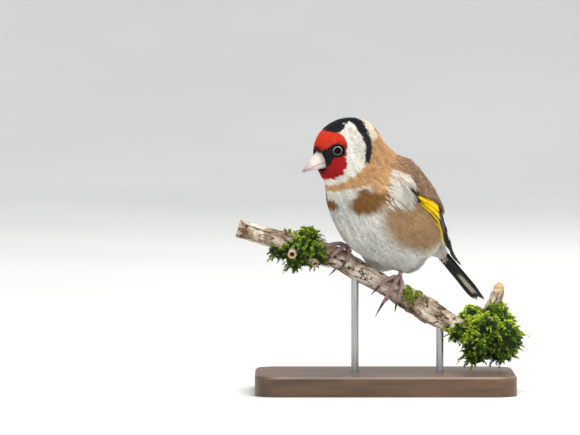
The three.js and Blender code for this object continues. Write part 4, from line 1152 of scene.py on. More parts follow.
def build_lid(name, side):
    """An almond ring of bare skin round the eye, its middle line on the eyeball, fuller above than below."""
    surface, look_out = eye_seat(side)
    ahead = unit(HEAD.rows[0] - HEAD.rows[0] @ look_out * look_out)
    up = np.cross(look_out, ahead) * side
    turn = turns(72)
    x, y = LID_REACH[0] * np.cos(turn), LID_REACH[1] * np.sin(turn)
    deep = np.sqrt(EYE_RADIUS ** 2 - x ** 2 - y ** 2)
    ball = unit(ahead * x[:, None] + up * y[:, None] + look_out * deep[:, None])
    line = surface - look_out * EYE_SINK + ball * (EYE_RADIUS + 0.02)
    away = unit(ball - dot(ball, look_out) * look_out)
    section = turns(12)
    thick = 0.10 + 0.02 * np.sin(turn)
    rings = line[:, None] + (away[:, None] * np.cos(section)[:, None] * 1.35
                             + ball[:, None] * np.sin(section)[:, None]) * thick[:, None, None]
    i, j = np.meshgrid(np.arange(72), np.arange(12), indexing="ij")
    a, b = i * 12 + j, i * 12 + (j + 1) % 12
    c, d = (i + 1) % 72 * 12 + j, (i + 1) % 72 * 12 + (j + 1) % 12
    points = rings.reshape(-1, 3)
    triangles = outward(points, np.stack([a, b, c, b, d, c], -1).reshape(-1, 3))
    # Tint is a painted highlight: the ring is pale along its top, less so at its back, and dark below and in
    # front
    tint = np.repeat(smooth(-0.3, 0.9, -np.cos(turn) * 0.4 - np.sin(turn)), 12)

    def build(tree):
        # From the dark skin to the pale painted highlight
        colour = ramp(tree, attribute(tree, "Tint", "Fac"), [(0, (0.16, 0.15, 0.15)), (1, (0.6, 0.58, 0.58))])
        colour, height = mottled(tree, colour, 3000.0, 0.3)
        return colour, {"Roughness": 0.55}, height, 0.00005

    mesh_object(name, points, triangles, material("Eyelid", build), "plumage", extras={"Tint": tint})


def to_tip(x):
    """How far the bill still runs at x, as a share of its length."""
    return np.clip(1 - x / BILL_LENGTH, 0.02, 1.4)


def mouth_line(x):
    """Height of the line between the bill's halves, a power curve that falls a little to the tip."""
    return -1.1 * to_tip(x) ** 1.2 - 0.3 * (1 - to_tip(x))


def upper_ridge(x):
    """Height of the bill's upper ridge, a power curve to the tip."""
    return 3.7 * to_tip(x) ** 0.92 - 0.35 * (1 - to_tip(x))


def lower_edge(x):
    """Height of the bill's lower edge, a power curve that ends before the tip."""
    return -4.5 * to_tip(x + 1.2) ** 0.95 - 0.85 * (1 - to_tip(x))


def bill_breadth(x):
    """Half the bill's breadth, a power curve to the tip."""
    return 3.7 * to_tip(x) ** 0.85


def horn_material():
    """Satin horn, ivory pink at the base and grey at the tip."""

    def build(tree):
        colour = ramp(tree, attribute(tree, "Tint", "Fac"),
                      [(0, colour_of("bill_base")), (0.4, colour_of("bill_base")),
                       (0.72, colour_of("bill_mid")), (1, colour_of("bill_tip"))])
        colour, height = mottled(tree, colour, 700.0, 0.10)
        finish = {"Roughness": 0.33, "Subsurface Weight": 0.12, "Subsurface Radius": (0.002, 0.001, 0.0007),
                  "Coat Weight": 0.15, "Coat Roughness": 0.3}
        return colour, finish, height, 0.00006

    return material("Bill horn", build)


def build_bill():
    """Two horny halves of a sharp cone. Each ring is an arch from the mouth line to the ridge or lower edge,
    closed by a shallow hollow on the mouth's side."""
    halves = {
        "bill_upper": (BILL_LENGTH, upper_ridge, 0.06, 0),
        "bill_lower": (BILL_LENGTH - 0.9, lower_edge, -0.06, 0.6),
    }
    for name, (length, edge, clear, narrower) in halves.items():
        x = np.linspace(0, 1, 70) ** 0.8 * (length + BILL_ROOT) - BILL_ROOT
        arch, inner = np.linspace(0, np.pi, 31), np.linspace(-0.9, 0.9, 9)
        wide, mouth = bill_breadth(x + narrower)[:, None], (mouth_line(x) + clear)[:, None]
        tall = edge(x)[:, None] - mouth
        height = mouth + tall * np.sin(arch) ** 0.85
        over = np.stack([np.broadcast_to(x[:, None], height.shape), wide * np.cos(arch), height], -1)
        hollow = mouth + 0.25 * tall * (1 - inner ** 2)
        under = np.stack([np.broadcast_to(x[:, None], hollow.shape), wide * inner, hollow], -1)
        points, triangles = closed(BILL.at(np.concatenate([over, under], 1)))
        tint = along_rings(np.clip(x / BILL_LENGTH, 0, 1), 40)
        mesh_object(name + "_horn", points, triangles, horn_material(), "bill_horn", (name,),
                    extras={"Tint": tint})


def build_bristles():
    """Short feathers over the nostrils and round the bill's base, pointing forwards."""
    rng = np.random.default_rng(5)
    n = 420
    turn = rng.random(n) * 1.5 - 0.75 + np.pi / 2
    side = np.where(rng.random(n) < 0.5, 1, -1)
    x = -1.9 + 1.1 * rng.random(n)
    spread = [x, side * 3.75 * np.abs(np.cos(turn * 0.98)), 0.4 + 3.5 * np.abs(np.sin(turn))]
    roots = BILL.at(np.stack(spread, -1))
    out = unit(roots - BILL.at(np.stack([x, 0 * x, 0.5 + 0 * x], -1)))
    way = unit(BILL.rows[0] + out * 0.12 + 0.12 * rng.standard_normal((n, 3)))
    points, triangles = blades(roots, way, out, 1.3 + 0.9 * rng.random(n), 0.16, 0.12, 0.25)
    tone = colour_of("bristle") * (0.6 + 0.7 * rng.random((n, 1)))
    homes = patches(np.stack([0.5 + 0.003 * turn, 0.9 + 0.01 * x], -1))
    mesh_object("nasal_bristles", points, triangles, coat_material(), "plumage",
                colours=blade_colours(tone), homes=homes)


def leg_material():
    """Dull pinkish skin, darker in the seams between its plates. Plate is 0 in a seam and 1 on a plate."""

    def build(tree):
        colour = ramp(tree, attribute(tree, "Plate", "Fac"),
                      [(0, colour_of("leg_seam")), (0.35, colour_of("leg_skin")), (1, colour_of("leg_skin"))])
        colour, height = mottled(tree, colour, 1500.0, 0.22)
        finish = {"Roughness": 0.4, "Subsurface Weight": 0.08, "Subsurface Radius": (0.002, 0.0008, 0.0006)}
        return colour, finish, height, 0.0001

    return material("Leg skin", build)


def scaled_tube(path, radii, reference, face, pitch, sides=20):
    """A tube with plates across the side that looks towards face: each rises along its pitch and ends in a
    step. Returns its surface and its Plate values."""
    ways = ring_ways(path, reference, sides)
    run = np.concatenate([[0], np.cumsum(np.linalg.norm(np.diff(path, axis=0), axis=-1))])
    phase = (run / pitch) % 1
    front = np.clip(dot(ways, unit(face))[..., 0], 0, 1) ** 0.6
    plate = (0.5 + 0.5 * phase) * (1 - smooth(0.86, 1.0, phase))
    bulge = 0.20 * (plate[:, None] - 0.4) * front + 0.03 * noise(path[:, None] + ways, 0.5, 7) * (1 - front)
    end = np.linspace(0, 1, len(path))
    cap = np.sqrt(np.clip(1 - (np.clip(end - 0.94, 0, 1) / 0.062) ** 2, 0.02, 1))
    rings = path[:, None] + ways * (radii[:, None] * cap[:, None] * (1 + bulge))[..., None]
    seam = mix(1, np.clip(plate * 1.4, 0, 1)[:, None], front)
    return closed(rings), np.concatenate([seam.ravel(), [seam[0].mean(), seam[-1].mean()]])


class Grip:
    """A place where a foot grips the branch. Paths there run along the branch, to its front and up."""

    def __init__(self, x):
        self.centre, self.along, top = perch_at(np.array(perch_where(x)))
        self.rows = np.array([self.along, FRONT, top])

    def at(self, path):
        """World places of a path's points."""
        return self.centre + np.asarray(path, float) @ self.rows


def claw_material():
    """Satin dark horn, darker at the point."""

    def build(tree):
        colour = ramp(tree, attribute(tree, "Tint", "Fac"),
                      [(0, colour_of("claw_base")), (1, colour_of("claw_tip"))])
        colour, height = mottled(tree, colour, 1200.0, 0.15)
        return colour, {"Roughness": 0.35, "Coat Weight": 0.2}, height, 0.00004

    return material("Claw horn", build)


def build_claw(name, grip, toe_end, hook):
    """A claw that starts inside the toe's end, curves along its hook and tapers to a point."""
    t = np.linspace(0, 1, 48)
    start = toe_end - unit(hook[0] - toe_end) * 0.35
    line, _ = curve(np.vstack([start, hook]), t)
    radii = mix(0.62, 0.1, t ** 0.9) * np.where(t > 0.98, 0.5, 1)
    points, triangles = closed(line[:, None] + ring_ways(line, grip.along, 18) * radii[:, None, None])
    mesh_object("horn_" + name, points, triangles, claw_material(), "claw_horn", ("claw_" + name,),
                extras={"Tint": along_rings(t, 18)})


def toe(grip, path):
    """A toe along its path, thicker at its joints, with plates on the side away from the branch."""
    s = np.linspace(0, 1, 110)
    line, _ = curve(grip.at(path), s)
    joints = 0.07 * np.cos(2 * np.pi * s * (len(path) - 1))
    outside = unit(line - grip.centre - dot(line - grip.centre, grip.along) * grip.along)
    return scaled_tube(line, LIMB_RADIUS * (mix(1.04, 0.76, s) + joints), grip.along, outside[:, None], 0.85)


def palm(grip, height):
    """The rough flattened ball in which the toes meet."""
    ball = ball_grid(24, 32, 0.05) * (1, 1, 0.62)
    rings = grip.at((0, 0.5, height)) + ball * 1.55 * (1 + 0.04 * noise(ball * 3, 0.5, 3))[..., None]
    surface = closed(rings)
    return surface, 0.55 + 0.45 * noise(surface[0], 0.45, 4)


def build_shank(name, grip):
    """The bare leg, a plated tube from the foot until it is well inside the belly."""
    start, way = grip.at((0, 0, 6.3)), unit(BODY.turn(TARSUS_WAY))
    reach = np.arange(0, LEG_LENGTH, 0.05)
    inside = body_distance(start + way * reach[:, None]) < -2.4
    length = reach[np.argmax(inside)] if inside.any() else LEG_LENGTH
    s = np.linspace(0, 1, 110)
    radii = LIMB_RADIUS * (1.12 - 0.16 * smooth(0, 0.25, s) + 0.16 * smooth(0.75, 1, s))
    surface, seam = scaled_tube(start + way * (length * s)[:, None], radii, BODY.rows[1],
                                BODY.rows[0] * 0.9 + BODY.rows[1] * 0.3, 1.5)
    mesh_object("shank_" + name, *surface, leg_material(), "leg_skin", ("leg_" + name,),
                extras={"Plate": seam})


def build_feet():
    """Feet that grip the branch: claws, plated toes that meet in a palm, and bare legs."""
    for name, (x, toes) in FEET.items():
        grip = Grip(x)
        for which, (path, hook) in toes.items():
            build_claw(f"{name}_{which}", grip, grip.at(path)[-1], grip.at(hook))
        parts = [toe(grip, path) for path, _ in toes.values()]
        parts.append(palm(grip, toes["inner"][0][0][2]))
        surfaces, seams = zip(*parts)
        points, triangles = joined(list(surfaces))
        mesh_object("toes_" + name, points, triangles, leg_material(), "leg_skin", ("foot_" + name,),
                    extras={"Plate": np.concatenate(seams)})
        build_shank(name, grip)


def bark_material():
    """Grey-beige bark with dark cracks, pale lichen specks and fresh pale wood where it is cut. Crack and
    Cut are worked out with the form."""

    def build(tree):
        place = tree.put("TexCoord").outputs["Object"]
        broad = tree.put("TexNoise", {"Vector": place, "Scale": 130.0, "Detail": 6.0, "Roughness": 0.62})
        colour = ramp(tree, broad.outputs["Fac"], [(0.36, colour_of("bark_dark")), (0.48, colour_of("bark")),
                                                  (0.6, colour_of("bark_pale"))])
        fine, height = mottled(tree, colour, 1800.0, 0.28)
        cracked = tree.put("Mix", {"Factor": attribute(tree, "Crack", "Fac"), "A": fine,
                                   "B": (*(colour_of("bark_dark") * 0.35), 1)}, data_type="RGBA")
        wood, _ = mottled(tree, colour_of("wood_cut"), 900.0, 0.2)
        whole = tree.put("Mix", {"Factor": attribute(tree, "Cut", "Fac"), "A": cracked.outputs["Result"],
                                 "B": wood}, data_type="RGBA")
        return whole.outputs["Result"], {"Roughness": 0.88, "Specular IOR Level": 0.2}, height, 0.0004

    return material("Bark", build)


def bark_form(points, run, turn, strength):
    """Relief and cracks of bark: plates stretched along the branch, parted by thin ridged-noise cracks."""
    stretched = np.stack([run / 3.4, np.cos(turn) * 3.6, np.sin(turn) * 3.6], -1)
    plates = noise(stretched, 1.0, 51) * 0.6 + noise(stretched, 0.45, 52) * 0.4
    ridged = 1 - np.abs(noise(stretched * (0.55, 1, 1), 1.1, 53) + 0.25 * noise(points, 0.8, 54))
    crack = smooth(0.84, 0.98, ridged)
    flake = smooth(0.1, 0.5, noise(stretched * (1.8, 1, 1), 1.3, 55))
    relief = strength * (0.16 * plates + 0.20 * flake) - 0.30 * crack * np.minimum(strength, 1.2)
    return relief + 0.05 * noise(points, 0.35, 56), crack


def build_branch():
    """The branch: rings round its middle line whose radius has knots, ridges and bark, cut square at both
    ends."""
    s, turn = np.meshgrid(np.linspace(0, 1, 520), turns(120), indexing="ij")
    centre, along, top = perch_at(s)
    way = top * np.cos(turn)[..., None] + FRONT * np.sin(turn)[..., None]
    radius = perch_radius(s, turn)
    strength = 0.8 + 1.3 * smooth(0.55, 0.64, s) * smooth(0.84, 0.76, s)
    relief, crack = bark_form(centre + way * radius[..., None], s * PERCH_LENGTH, turn, strength)
    rings = centre + way * (radius + relief)[..., None]
    first = mix(centre[:1], rings[:1], 0.86) + 0.02 * along[:1]
    last = mix(centre[-1:], rings[-1:], 0.86) - 0.02 * along[-1:]
    points, triangles = closed(np.concatenate([first, rings, last]))
    one = np.ones((1, 120))
    cut = np.concatenate([one, 0 * s, one])
    crack = np.concatenate([0 * one, crack, 0 * one])
    mesh_object("branch_bark", points, triangles, bark_material(), "bark", ("perch_branch",),
                extras={"Crack": np.append(crack.ravel(), (0, 0)), "Cut": np.append(cut.ravel(), (1, 1))})


def build_stub():
    """The broken stub: barked rings that turn to bare splintered wood, with a torn top."""
    t = np.linspace(0, 1, 130)
    line, _ = curve(STUB_LINE, t)
    ways = ring_ways(line, -FRONT, 72)
    turn = np.broadcast_to(turns(72), (130, 72))
    radius = np.broadcast_to((mix(3.0, 2.3, t) * (1 - 0.5 * smooth(0.9, 1, t)))[:, None], (130, 72))
    run = STUB_LENGTH * np.broadcast_to(t[:, None], (130, 72))
    relief, crack = bark_form(line[:, None] + ways * radius[..., None], run, turn, 1.0)
    torn = smooth(0.72, 0.84, t[:, None] + 0.10 * noise(ways * 2.2, 1.0, 61))
    splinter = np.abs(np.sin(turn * 9 + 2 * noise(ways * 3, 1.0, 62)))
    radius = radius + relief * (1 - torn) - torn * (0.25 + 0.35 * splinter)
    high = (2.2 * noise(ways[-1:] * 2.5, 1.0, 63) - 1.0) * smooth(0.9, 1, t)[:, None]
    rings = line[:, None] + ways * radius[..., None] + np.array([0.2, 0, 0.97]) * high[..., None]
    points, triangles = closed(rings)
    mesh_object("stub_bark", points, triangles, bark_material(), "bark", ("perch_stub",),
                extras={"Crack": np.append((crack * (1 - torn)).ravel(), (0, 0)),
                        "Cut": np.append(torn.ravel(), (0, 1))})


def build_twig(name, start, end, size):
    """A sawn twig: a rough round rod whose end has a pale rim and a dark hollow."""
    t = np.linspace(0, 1, 40)
    line = mix(np.array(start), np.array(end), t[:, None])
    ways = ring_ways(line, UP, 48)
    radius = size * (1 + 0.05 * noise(line[:, None] + ways * size, 0.7, 70))
    rings = line[:, None] + ways * radius[..., None]
    rim = [mix(line[-1:, None], rings[-1:], share) + step * unit(line[-1] - line[0])
           for share, step in ((0.9, 0.08), (0.66, 0.05), (0.5, -0.35), (0.3, -0.9))]
    points, triangles = closed(np.concatenate([rings, *rim]))
    cut = np.concatenate([0 * t, [1, 1, 0.2, 0]])
    crack = np.concatenate([0.3 + 0 * t, [0, 0, 1, 1]])
    mesh_object(name, points, triangles, bark_material(), "bark",
                extras={"Crack": along_rings(crack, 48), "Cut": along_rings(cut, 48)})


def build_patch():
    """A thin patch of moss on the branch's front, beside the left foot."""
    rng = np.random.default_rng(41)
    n = 1500
    s = perch_where(9.6) + 0.022 * rng.standard_normal(n)
    turn = 0.95 + 0.42 * rng.standard_normal(n)
    kept = noise(np.stack([s * 110, turn * 4, 0 * s], -1), 1.5, 84) > -0.15
    s, turn = s[kept], turn[kept]
    centre, _, top = perch_at(s)
    way = top * np.cos(turn)[:, None] + FRONT * np.sin(turn)[:, None]
    roots = centre + way * (perch_radius(s, turn) + 0.1)[:, None]
    lean = unit(way + 0.7 * rng.standard_normal((len(s), 3)))
    out = unit(np.cross(lean, rng.standard_normal((len(s), 3))))
    points, triangles = blades(roots, lean, out, 0.5 + 0.7 * rng.random(len(s)), 0.34, 0.1, -0.2)
    tone = mix(colour_of("moss_dark"), colour_of("moss_bright"), rng.random((len(s), 1)) ** 1.4)
    mesh_object("moss_patch", points, triangles, moss_material(), "moss",
                colours=blade_colours(tone, 0.4, 1.0, 1.3),
                homes=patches(np.stack([s, turn / (2 * np.pi)], -1)))


def moss_material():
    """Matte leaves in the moss's own colours."""

    def build(tree):
        colour, height = mottled(tree, attribute(tree, "Coat", "Color"), 1400.0, 0.35)
        return colour, {"Roughness": 0.9, "Specular IOR Level": 0.15, "Sheen Weight": 0.1}, height, 0.0004

    return material("Moss", build)


def cushion_balls(name):
    """Centres and half sizes of a moss cushion's core and of its rounded clumps, spread by the golden
    angle."""
    centre, half, clumps, size = MOSS[name]
    i = np.arange(clumps)
    height = 1 - 2 * (i + 0.5) / clumps
    flat, turn = np.sqrt(1 - height ** 2), i * GOLDEN_ANGLE
    ways = np.stack([flat * np.cos(turn), flat * np.sin(turn), height], -1)
    centres = np.array(centre) + ways * half * (0.86 + 0.1 * np.sin(i * 5.1))[:, None]
    radii = size * (1 + 0.25 * np.sin(i * 2.7)) * 0.86
    core = np.array(half) * 0.85 * 0.95
    return np.vstack([centre, centres]), np.vstack([core, np.repeat(radii[:, None], 3, 1)])


def build_bed(name, centres, halves):
    """A moss cushion's dark rounded clumps: balls with a rough surface."""
    ball = ball_grid(26, 40, 0.06)
    parts = [closed(c + ball * h * (1 + 0.06 * noise(c + ball * h, 1.2, 81))[..., None])
             for c, h in zip(centres, halves)]
    points, triangles = joined(parts)
    # The clumps under the fronds take the dark moss colour as painted shade
    dark = np.broadcast_to(colour_of("moss_dark"), points.shape)
    tone = paint(dark, "moss", smooth(0, 1, noise(points, 2.0, 82)) * 0.5)
    mesh_object(name + "_bed", points, triangles, moss_material(), "moss", (name,), colours=tone)


def build_moss(name, count, seed):
    """Moss: dark clumps, and over them small fronds that lean outwards and up to the light, each a row of
    leaves round an axis that bends down with the square of its length."""
    rng = np.random.default_rng(seed)
    centres, halves = cushion_balls(name)
    build_bed(name, centres, halves)
    areas = (halves ** 2).mean(1)
    which = rng.choice(len(halves), count * 3, p=areas / areas.sum())
    way = unit(rng.standard_normal((count * 3, 3)))
    roots = centres[which] + way * halves[which] * 0.9
    depth = (((roots[:, None] - centres) / halves) ** 2).sum(-1).min(1)
    roots, way = roots[depth >= 0.75][:count], way[depth >= 0.75][:count]
    n = len(roots)
    tuft = noise(roots, 3.0, 83)
    axis = unit(way + 0.45 * UP + 0.55 * rng.standard_normal((n, 3)))
    reach = (1.6 + 2.4 * rng.random(n) ** 2) * (1 + 0.5 * tuft)
    fronds = np.repeat(np.arange(n), MOSS_LEAVES)
    s = np.tile((np.arange(MOSS_LEAVES) + 0.5) / MOSS_LEAVES, n)
    axis_of, run = axis[fronds], reach[fronds] * s
    spots = roots[fronds] + axis_of * run[:, None] - UP * (0.12 * run ** 2)[:, None]
    radial = unit(np.cross(axis_of, rng.standard_normal(axis_of.shape)))
    lean = unit(axis_of * (0.45 + 0.6 * s)[:, None] + radial)
    length = mix(1.25, 0.7, s) * (0.7 + 0.6 * rng.random(len(s)))
    width = 0.36 + 0.22 * rng.random(len(s))
    points, triangles = blades(spots, lean, unit(np.cross(lean, axis_of)), length, width, 0.06, -0.1)
    # Painted light and shade: a frond rooted higher on its cushion is lighter, and lower ones keep the dark
    # moss colour as painted shade; each frond also lightens towards its outer leaves, partly young growth and
    # partly painted light
    light = 0.40 + 0.22 * way[fronds, 2] + 0.38 * s + (0.3 * tuft + 0.16 * rng.standard_normal(n))[fronds]
    light = np.clip(light + 0.08 * rng.standard_normal(len(s)), 0, 1)
    tone = paint(np.broadcast_to(colour_of("moss_dark"), (len(s), 3)), "moss", smooth(0.15, 0.6, light))
    tone = paint(tone, "moss_bright", smooth(0.55, 1.0, light) * (1.0 if name == "moss_end" else 0.55))
    tone = paint(tone, "wood_cut", 0.7 * (rng.random(n) < 0.02)[fronds])
    centre = np.stack([(np.arctan2(way[:, 1], way[:, 0]) / np.pi + 1) / 2, (way[:, 2] + 1) / 2], -1)[fronds]
    mesh_object(name + "_shoots", points, triangles, moss_material(), "moss",
                colours=blade_colours(tone, 0.45, 1.0, 1.3), homes=patches(centre))


def wood_finish(tree):
    """Oiled wood: two noises stretched along the grain, averaged."""
    place = tree.put("TexCoord").outputs["Object"]
    long = tree.put("VectorMath", {0: place, 1: (0.12, 1.0, 1.0)}, operation="MULTIPLY").outputs["Vector"]
    grain = tree.put("TexNoise", {"Vector": long, "Scale": 420.0, "Detail": 6.0})
    bands = tree.put("TexNoise", {"Vector": long, "Scale": 70.0, "Detail": 2.0, "Distortion": 1.2})
    both = tree.put("Math", {0: grain.outputs["Fac"], 1: bands.outputs["Fac"]}, operation="ADD")
    half = tree.put("Math", {0: both.outputs[0], 1: 0.5}, operation="MULTIPLY")
    stops = [(0.35, colour_of("base_wood") * 0.45), (0.65, colour_of("base_wood"))]
    finish = {"Roughness": 0.42, "Coat Weight": 0.15, "Coat Roughness": 0.3}
    return ramp(tree, half.outputs[0], stops), finish, grain.outputs["Fac"], 0.0001


def steel_finish(tree):
    """Brushed steel: fine noise drawn out along the rod varies its colour and roughness."""
    place = tree.put("TexCoord").outputs["Object"]
    long = tree.put("VectorMath", {0: place, 1: (1.0, 1.0, 0.02)}, operation="MULTIPLY").outputs["Vector"]
    grain = tree.put("TexNoise", {"Vector": long, "Scale": 5000.0, "Detail": 3.0})
    colour = ramp(tree, grain.outputs["Fac"], [(0.3, (0.36, 0.36, 0.37)), (0.7, (0.58, 0.58, 0.59))])
    rough = tree.put("MapRange", {"Value": grain.outputs["Fac"], "To Min": 0.25, "To Max": 0.42})
    return colour, {"Metallic": 1.0, "Roughness": rough.outputs["Result"]}, None, 0


def build_stand():
    """The stand keeps its solid shapes and gets its finishes: oiled wood on the base, steel on the rods."""
    steel = ("Stand steel", steel_finish)
    finishes = {"stand_base": ("Stand wood", wood_finish), "stand_rod_1": steel, "stand_rod_2": steel}
    for name, finish in finishes.items():
        mesh = bpy.data.objects[name].data
        mesh.materials.clear()
        mesh.materials.append(material(*finish))


def build_floor():
    """A pale round floor: a flat disc whose edge bends up in a quarter circle."""
    bend = np.linspace(0, np.pi / 2, 25)[1:]
    radius = np.concatenate([np.linspace(0.05, FLOOR_RADIUS, 10), FLOOR_RADIUS + FLOOR_BEND * np.sin(bend)])
    rise = np.concatenate([np.zeros(10), FLOOR_BEND - FLOOR_BEND * np.cos(bend)])[:, None]
    turn = turns(96)
    points = np.stack([radius[:, None] * np.cos(turn), radius[:, None] * np.sin(turn), rise + 0 * turn], -1)
    i, j = np.meshgrid(np.arange(len(radius) - 1), np.arange(96), indexing="ij")
    k = (j + 1) % 96
    faces = np.stack([i * 96 + j, (i + 1) * 96 + j, (i + 1) * 96 + k, i * 96 + k], -1).reshape(-1, 4)
    mesh = bpy.data.meshes.new("floor")
    mesh.from_pydata(points.reshape(-1, 3).tolist(), [], [*faces.tolist(), list(range(96))])
    mesh.shade_smooth()

    def build(tree):
        colour, height = mottled(tree, colour_of("floor"), 3.0, 0.03)
        return colour, {"Roughness": 0.9, "Specular IOR Level": 0.1}, height, 0.0001

    mesh.materials.append(material("Floor", build))
    floor = bpy.data.objects.new("floor", mesh)
    bpy.context.scene.collection.objects.link(floor)


def look_along(place, target):
    """Euler angles of a lamp or camera at a place that looks at a target."""
    x, y, z = np.asarray(target) - np.asarray(place)
    return (np.arccos(-z / np.sqrt(x * x + y * y + z * z)), 0, np.arctan2(y, x) - np.pi / 2)


def put_in_scene(name, data, place, target):
    """An object for a lamp or a camera, at a place and looking at a target."""
    made = bpy.data.objects.new(name, data)
    made.location = place
    made.rotation_euler = look_along(place, target)
    bpy.context.scene.collection.objects.link(made)
    return made


def build_lights():
    """Four soft disc lamps, a broad weak sun as the studio's ceiling, and a pale world."""
    for name, (place, target, size, power, tone) in LAMPS.items():
        light = bpy.data.lights.new(name, "AREA")
        light.shape = "DISK"
        light.size = size
        light.energy = power
        light.color = tone
        put_in_scene(name, light, place, target)
    light = bpy.data.lights.new("lamp_sky", "SUN")
    light.angle = 1.0
    light.energy = 2.1
    put_in_scene("lamp_sky", light, (0.2, 0.1, 1.5), (0, 0, 0.07))
    world = bpy.data.worlds.new("Studio")
    world.use_nodes = True
    background = world.node_tree.nodes["Background"]
    background.inputs["Color"].default_value = (0.72, 0.76, 0.82, 1)
    background.inputs["Strength"].default_value = 0.38
    bpy.context.scene.world = world


def build_camera():
    """The photo's view, from a little above the bird's height."""
    tilt = np.radians(VIEW_TILT)
    camera = bpy.data.cameras.new("camera")
    camera.lens = VIEW_LENS
    camera.sensor_width = 36
    camera.clip_start = 0.1
    place = VIEW_TARGET + VIEW_DISTANCE * np.array([0, -np.cos(tilt), np.sin(tilt)])
    bpy.context.scene.camera = put_in_scene("camera", camera, place, VIEW_TARGET)
    bpy.context.scene.view_settings.view_transform = "Standard"


# Settings, operators and panel


def linear(rgb):
    """A colour given as 0 to 255 on a screen, as the linear values that Blender keeps."""
    c = np.array(rgb) / 255
    return tuple(float(x) for x in np.where(c <= 0.04045, c / 12.92, ((c + 0.055) / 1.055) ** 2.4))


def colour_setting(name, description, rgb):
    """A colour setting."""
    return bpy.props.FloatVectorProperty(name=name, description=description, subtype="COLOR", size=3,
                                         min=0, max=1, default=linear(rgb))


def length_setting(name, description, default):
    """A length setting in metres."""
    return bpy.props.FloatProperty(name=name, description=description, default=default, min=0, unit="LENGTH",
                                   precision=5)


class GoldfinchSettings(bpy.types.PropertyGroup):
    """Sizes and colours of the goldfinch, its perch and its stand."""

    face_coat: length_setting("Face coat", "Depth of the coat at the bill", 0.00035)
    body_coat: length_setting("Body coat", "Depth of the coat on the body", 0.001)
    feather_count: bpy.props.IntProperty(name="Feathers", description="Number of body feathers",
                                         default=94000)
    white: colour_setting("White", "Cheek, throat, belly and feather tips", (238, 233, 222))
    # Painted shade: the grey that the white belly takes low on the body
    belly_shade: colour_setting("Belly grey", "Shaded white of the belly", (190, 196, 196))
    cream: colour_setting("Cream", "Pale patch on the nape", (234, 222, 200))
    flank_tawny: colour_setting("Flank tawny", "Sides of the body", (162, 120, 66))
    breast_tawny: colour_setting("Breast tawny", "Patches on the breast", (138, 94, 44))
    collar: colour_setting("Collar", "Buff band round the throat", (212, 166, 114))
    mantle: colour_setting("Mantle", "Grey-brown back", (150, 118, 92))
    # Black with a faint blue cast, which is a painted sheen
    crown_black: colour_setting("Crown black", "Crown and crescent", (16, 18, 25))
    face_red: colour_setting("Face red", "Cheek and chin", (176, 14, 18))
    # Lighter, more orange red at the top of the face, a painted light
    forehead_red: colour_setting("Forehead red", "Forehead", (212, 52, 16))
    lores_black: colour_setting("Lores black", "From the bill to the eye", (14, 11, 12))
    bristle: colour_setting("Bristles", "Feathers over the nostrils", (72, 56, 52))
    wing_black: colour_setting("Wing black", "Flight feathers", (5, 5, 6))
    wing_yellow: colour_setting("Wing yellow", "Wing bar", (246, 206, 14))
    tail_white_shaded: colour_setting("Tail white", "Underside of the outer tail feathers", (196, 192, 170))
    bill_base: colour_setting("Bill base", "Ivory pink horn", (232, 212, 206))
    # White of the outer tail feathers' inner webs, greyed as painted shade
    bill_mid: colour_setting("Bill middle", "Horn before the tip", (190, 172, 172))
    bill_tip: colour_setting("Bill tip", "Grey tip", (84, 78, 84))
    leg_skin: colour_setting("Leg skin", "Plates of legs and toes", (150, 116, 114))
    leg_seam: colour_setting("Leg seams", "Seams between the plates", (44, 28, 30))
    claw_base: colour_setting("Claw base", "Horn at the toe", (74, 54, 50))
    claw_tip: colour_setting("Claw tip", "Horn at the point", (28, 22, 22))
    bark: colour_setting("Bark", "Bark", (158, 138, 116))
    bark_pale: colour_setting("Pale bark", "Weathered bark", (216, 204, 186))
    bark_dark: colour_setting("Dark bark", "Hollows of the bark", (80, 62, 48))
    wood_cut: colour_setting("Cut wood", "Bare wood", (206, 176, 130))
    moss: colour_setting("Moss", "Moss", (108, 146, 18))
    moss_bright: colour_setting("Bright moss", "Young shoots", (200, 222, 56))
    moss_dark: colour_setting("Dark moss", "Moss in shade", (24, 40, 8))
    base_wood: colour_setting("Base wood", "Stand base", (112, 82, 58))
    floor: colour_setting("Floor", "Studio floor", (212, 212, 210))


class GOLDFINCH_OT_skin(bpy.types.Operator):
    """Build the skin below the feathers"""

    bl_idname = "goldfinch.skin"
    bl_label = "Skin"

    def execute(self, context):
        build_skin()
        return {"FINISHED"}


class GOLDFINCH_OT_coat(bpy.types.Operator):
    """Build the body feathers"""

    bl_idname = "goldfinch.coat"
    bl_label = "Body feathers"

    def execute(self, context):
        build_coat()
        return {"FINISHED"}


class GOLDFINCH_OT_wings(bpy.types.Operator):
    """Build both folded wings"""

    bl_idname = "goldfinch.wings"
    bl_label = "Wings"

    def execute(self, context):
        for name, side in (("left", 1), ("right", -1)):
            build_wing("feathers_" + name, side)
            build_wing_core("wing_core_" + name, side)
            build_scapulars("coat_scapulars_" + name, side)
        return {"FINISHED"}


class GOLDFINCH_OT_tail(bpy.types.Operator):
    """Build the tail feathers"""

    bl_idname = "goldfinch.tail"
    bl_label = "Tail"

    def execute(self, context):
        build_tail()
        return {"FINISHED"}


class GOLDFINCH_OT_eyes(bpy.types.Operator):
    """Build the eyes and their lids"""

    bl_idname = "goldfinch.eyes"
    bl_label = "Eyes and lids"

    def execute(self, context):
        for name, side in (("left", 1), ("right", -1)):
            build_eye("eye_" + name, side)
            build_lid("lid_" + name, side)
        return {"FINISHED"}


class GOLDFINCH_OT_bill(bpy.types.Operator):
    """Build the bill and the bristles at its base"""

    bl_idname = "goldfinch.bill"
    bl_label = "Bill"

    def execute(self, context):
        build_bill()
        build_bristles()
        return {"FINISHED"}


class GOLDFINCH_OT_feet(bpy.types.Operator):
    """Build legs, toes and claws"""

    bl_idname = "goldfinch.feet"
    bl_label = "Legs and feet"

    def execute(self, context):
        build_feet()
        return {"FINISHED"}


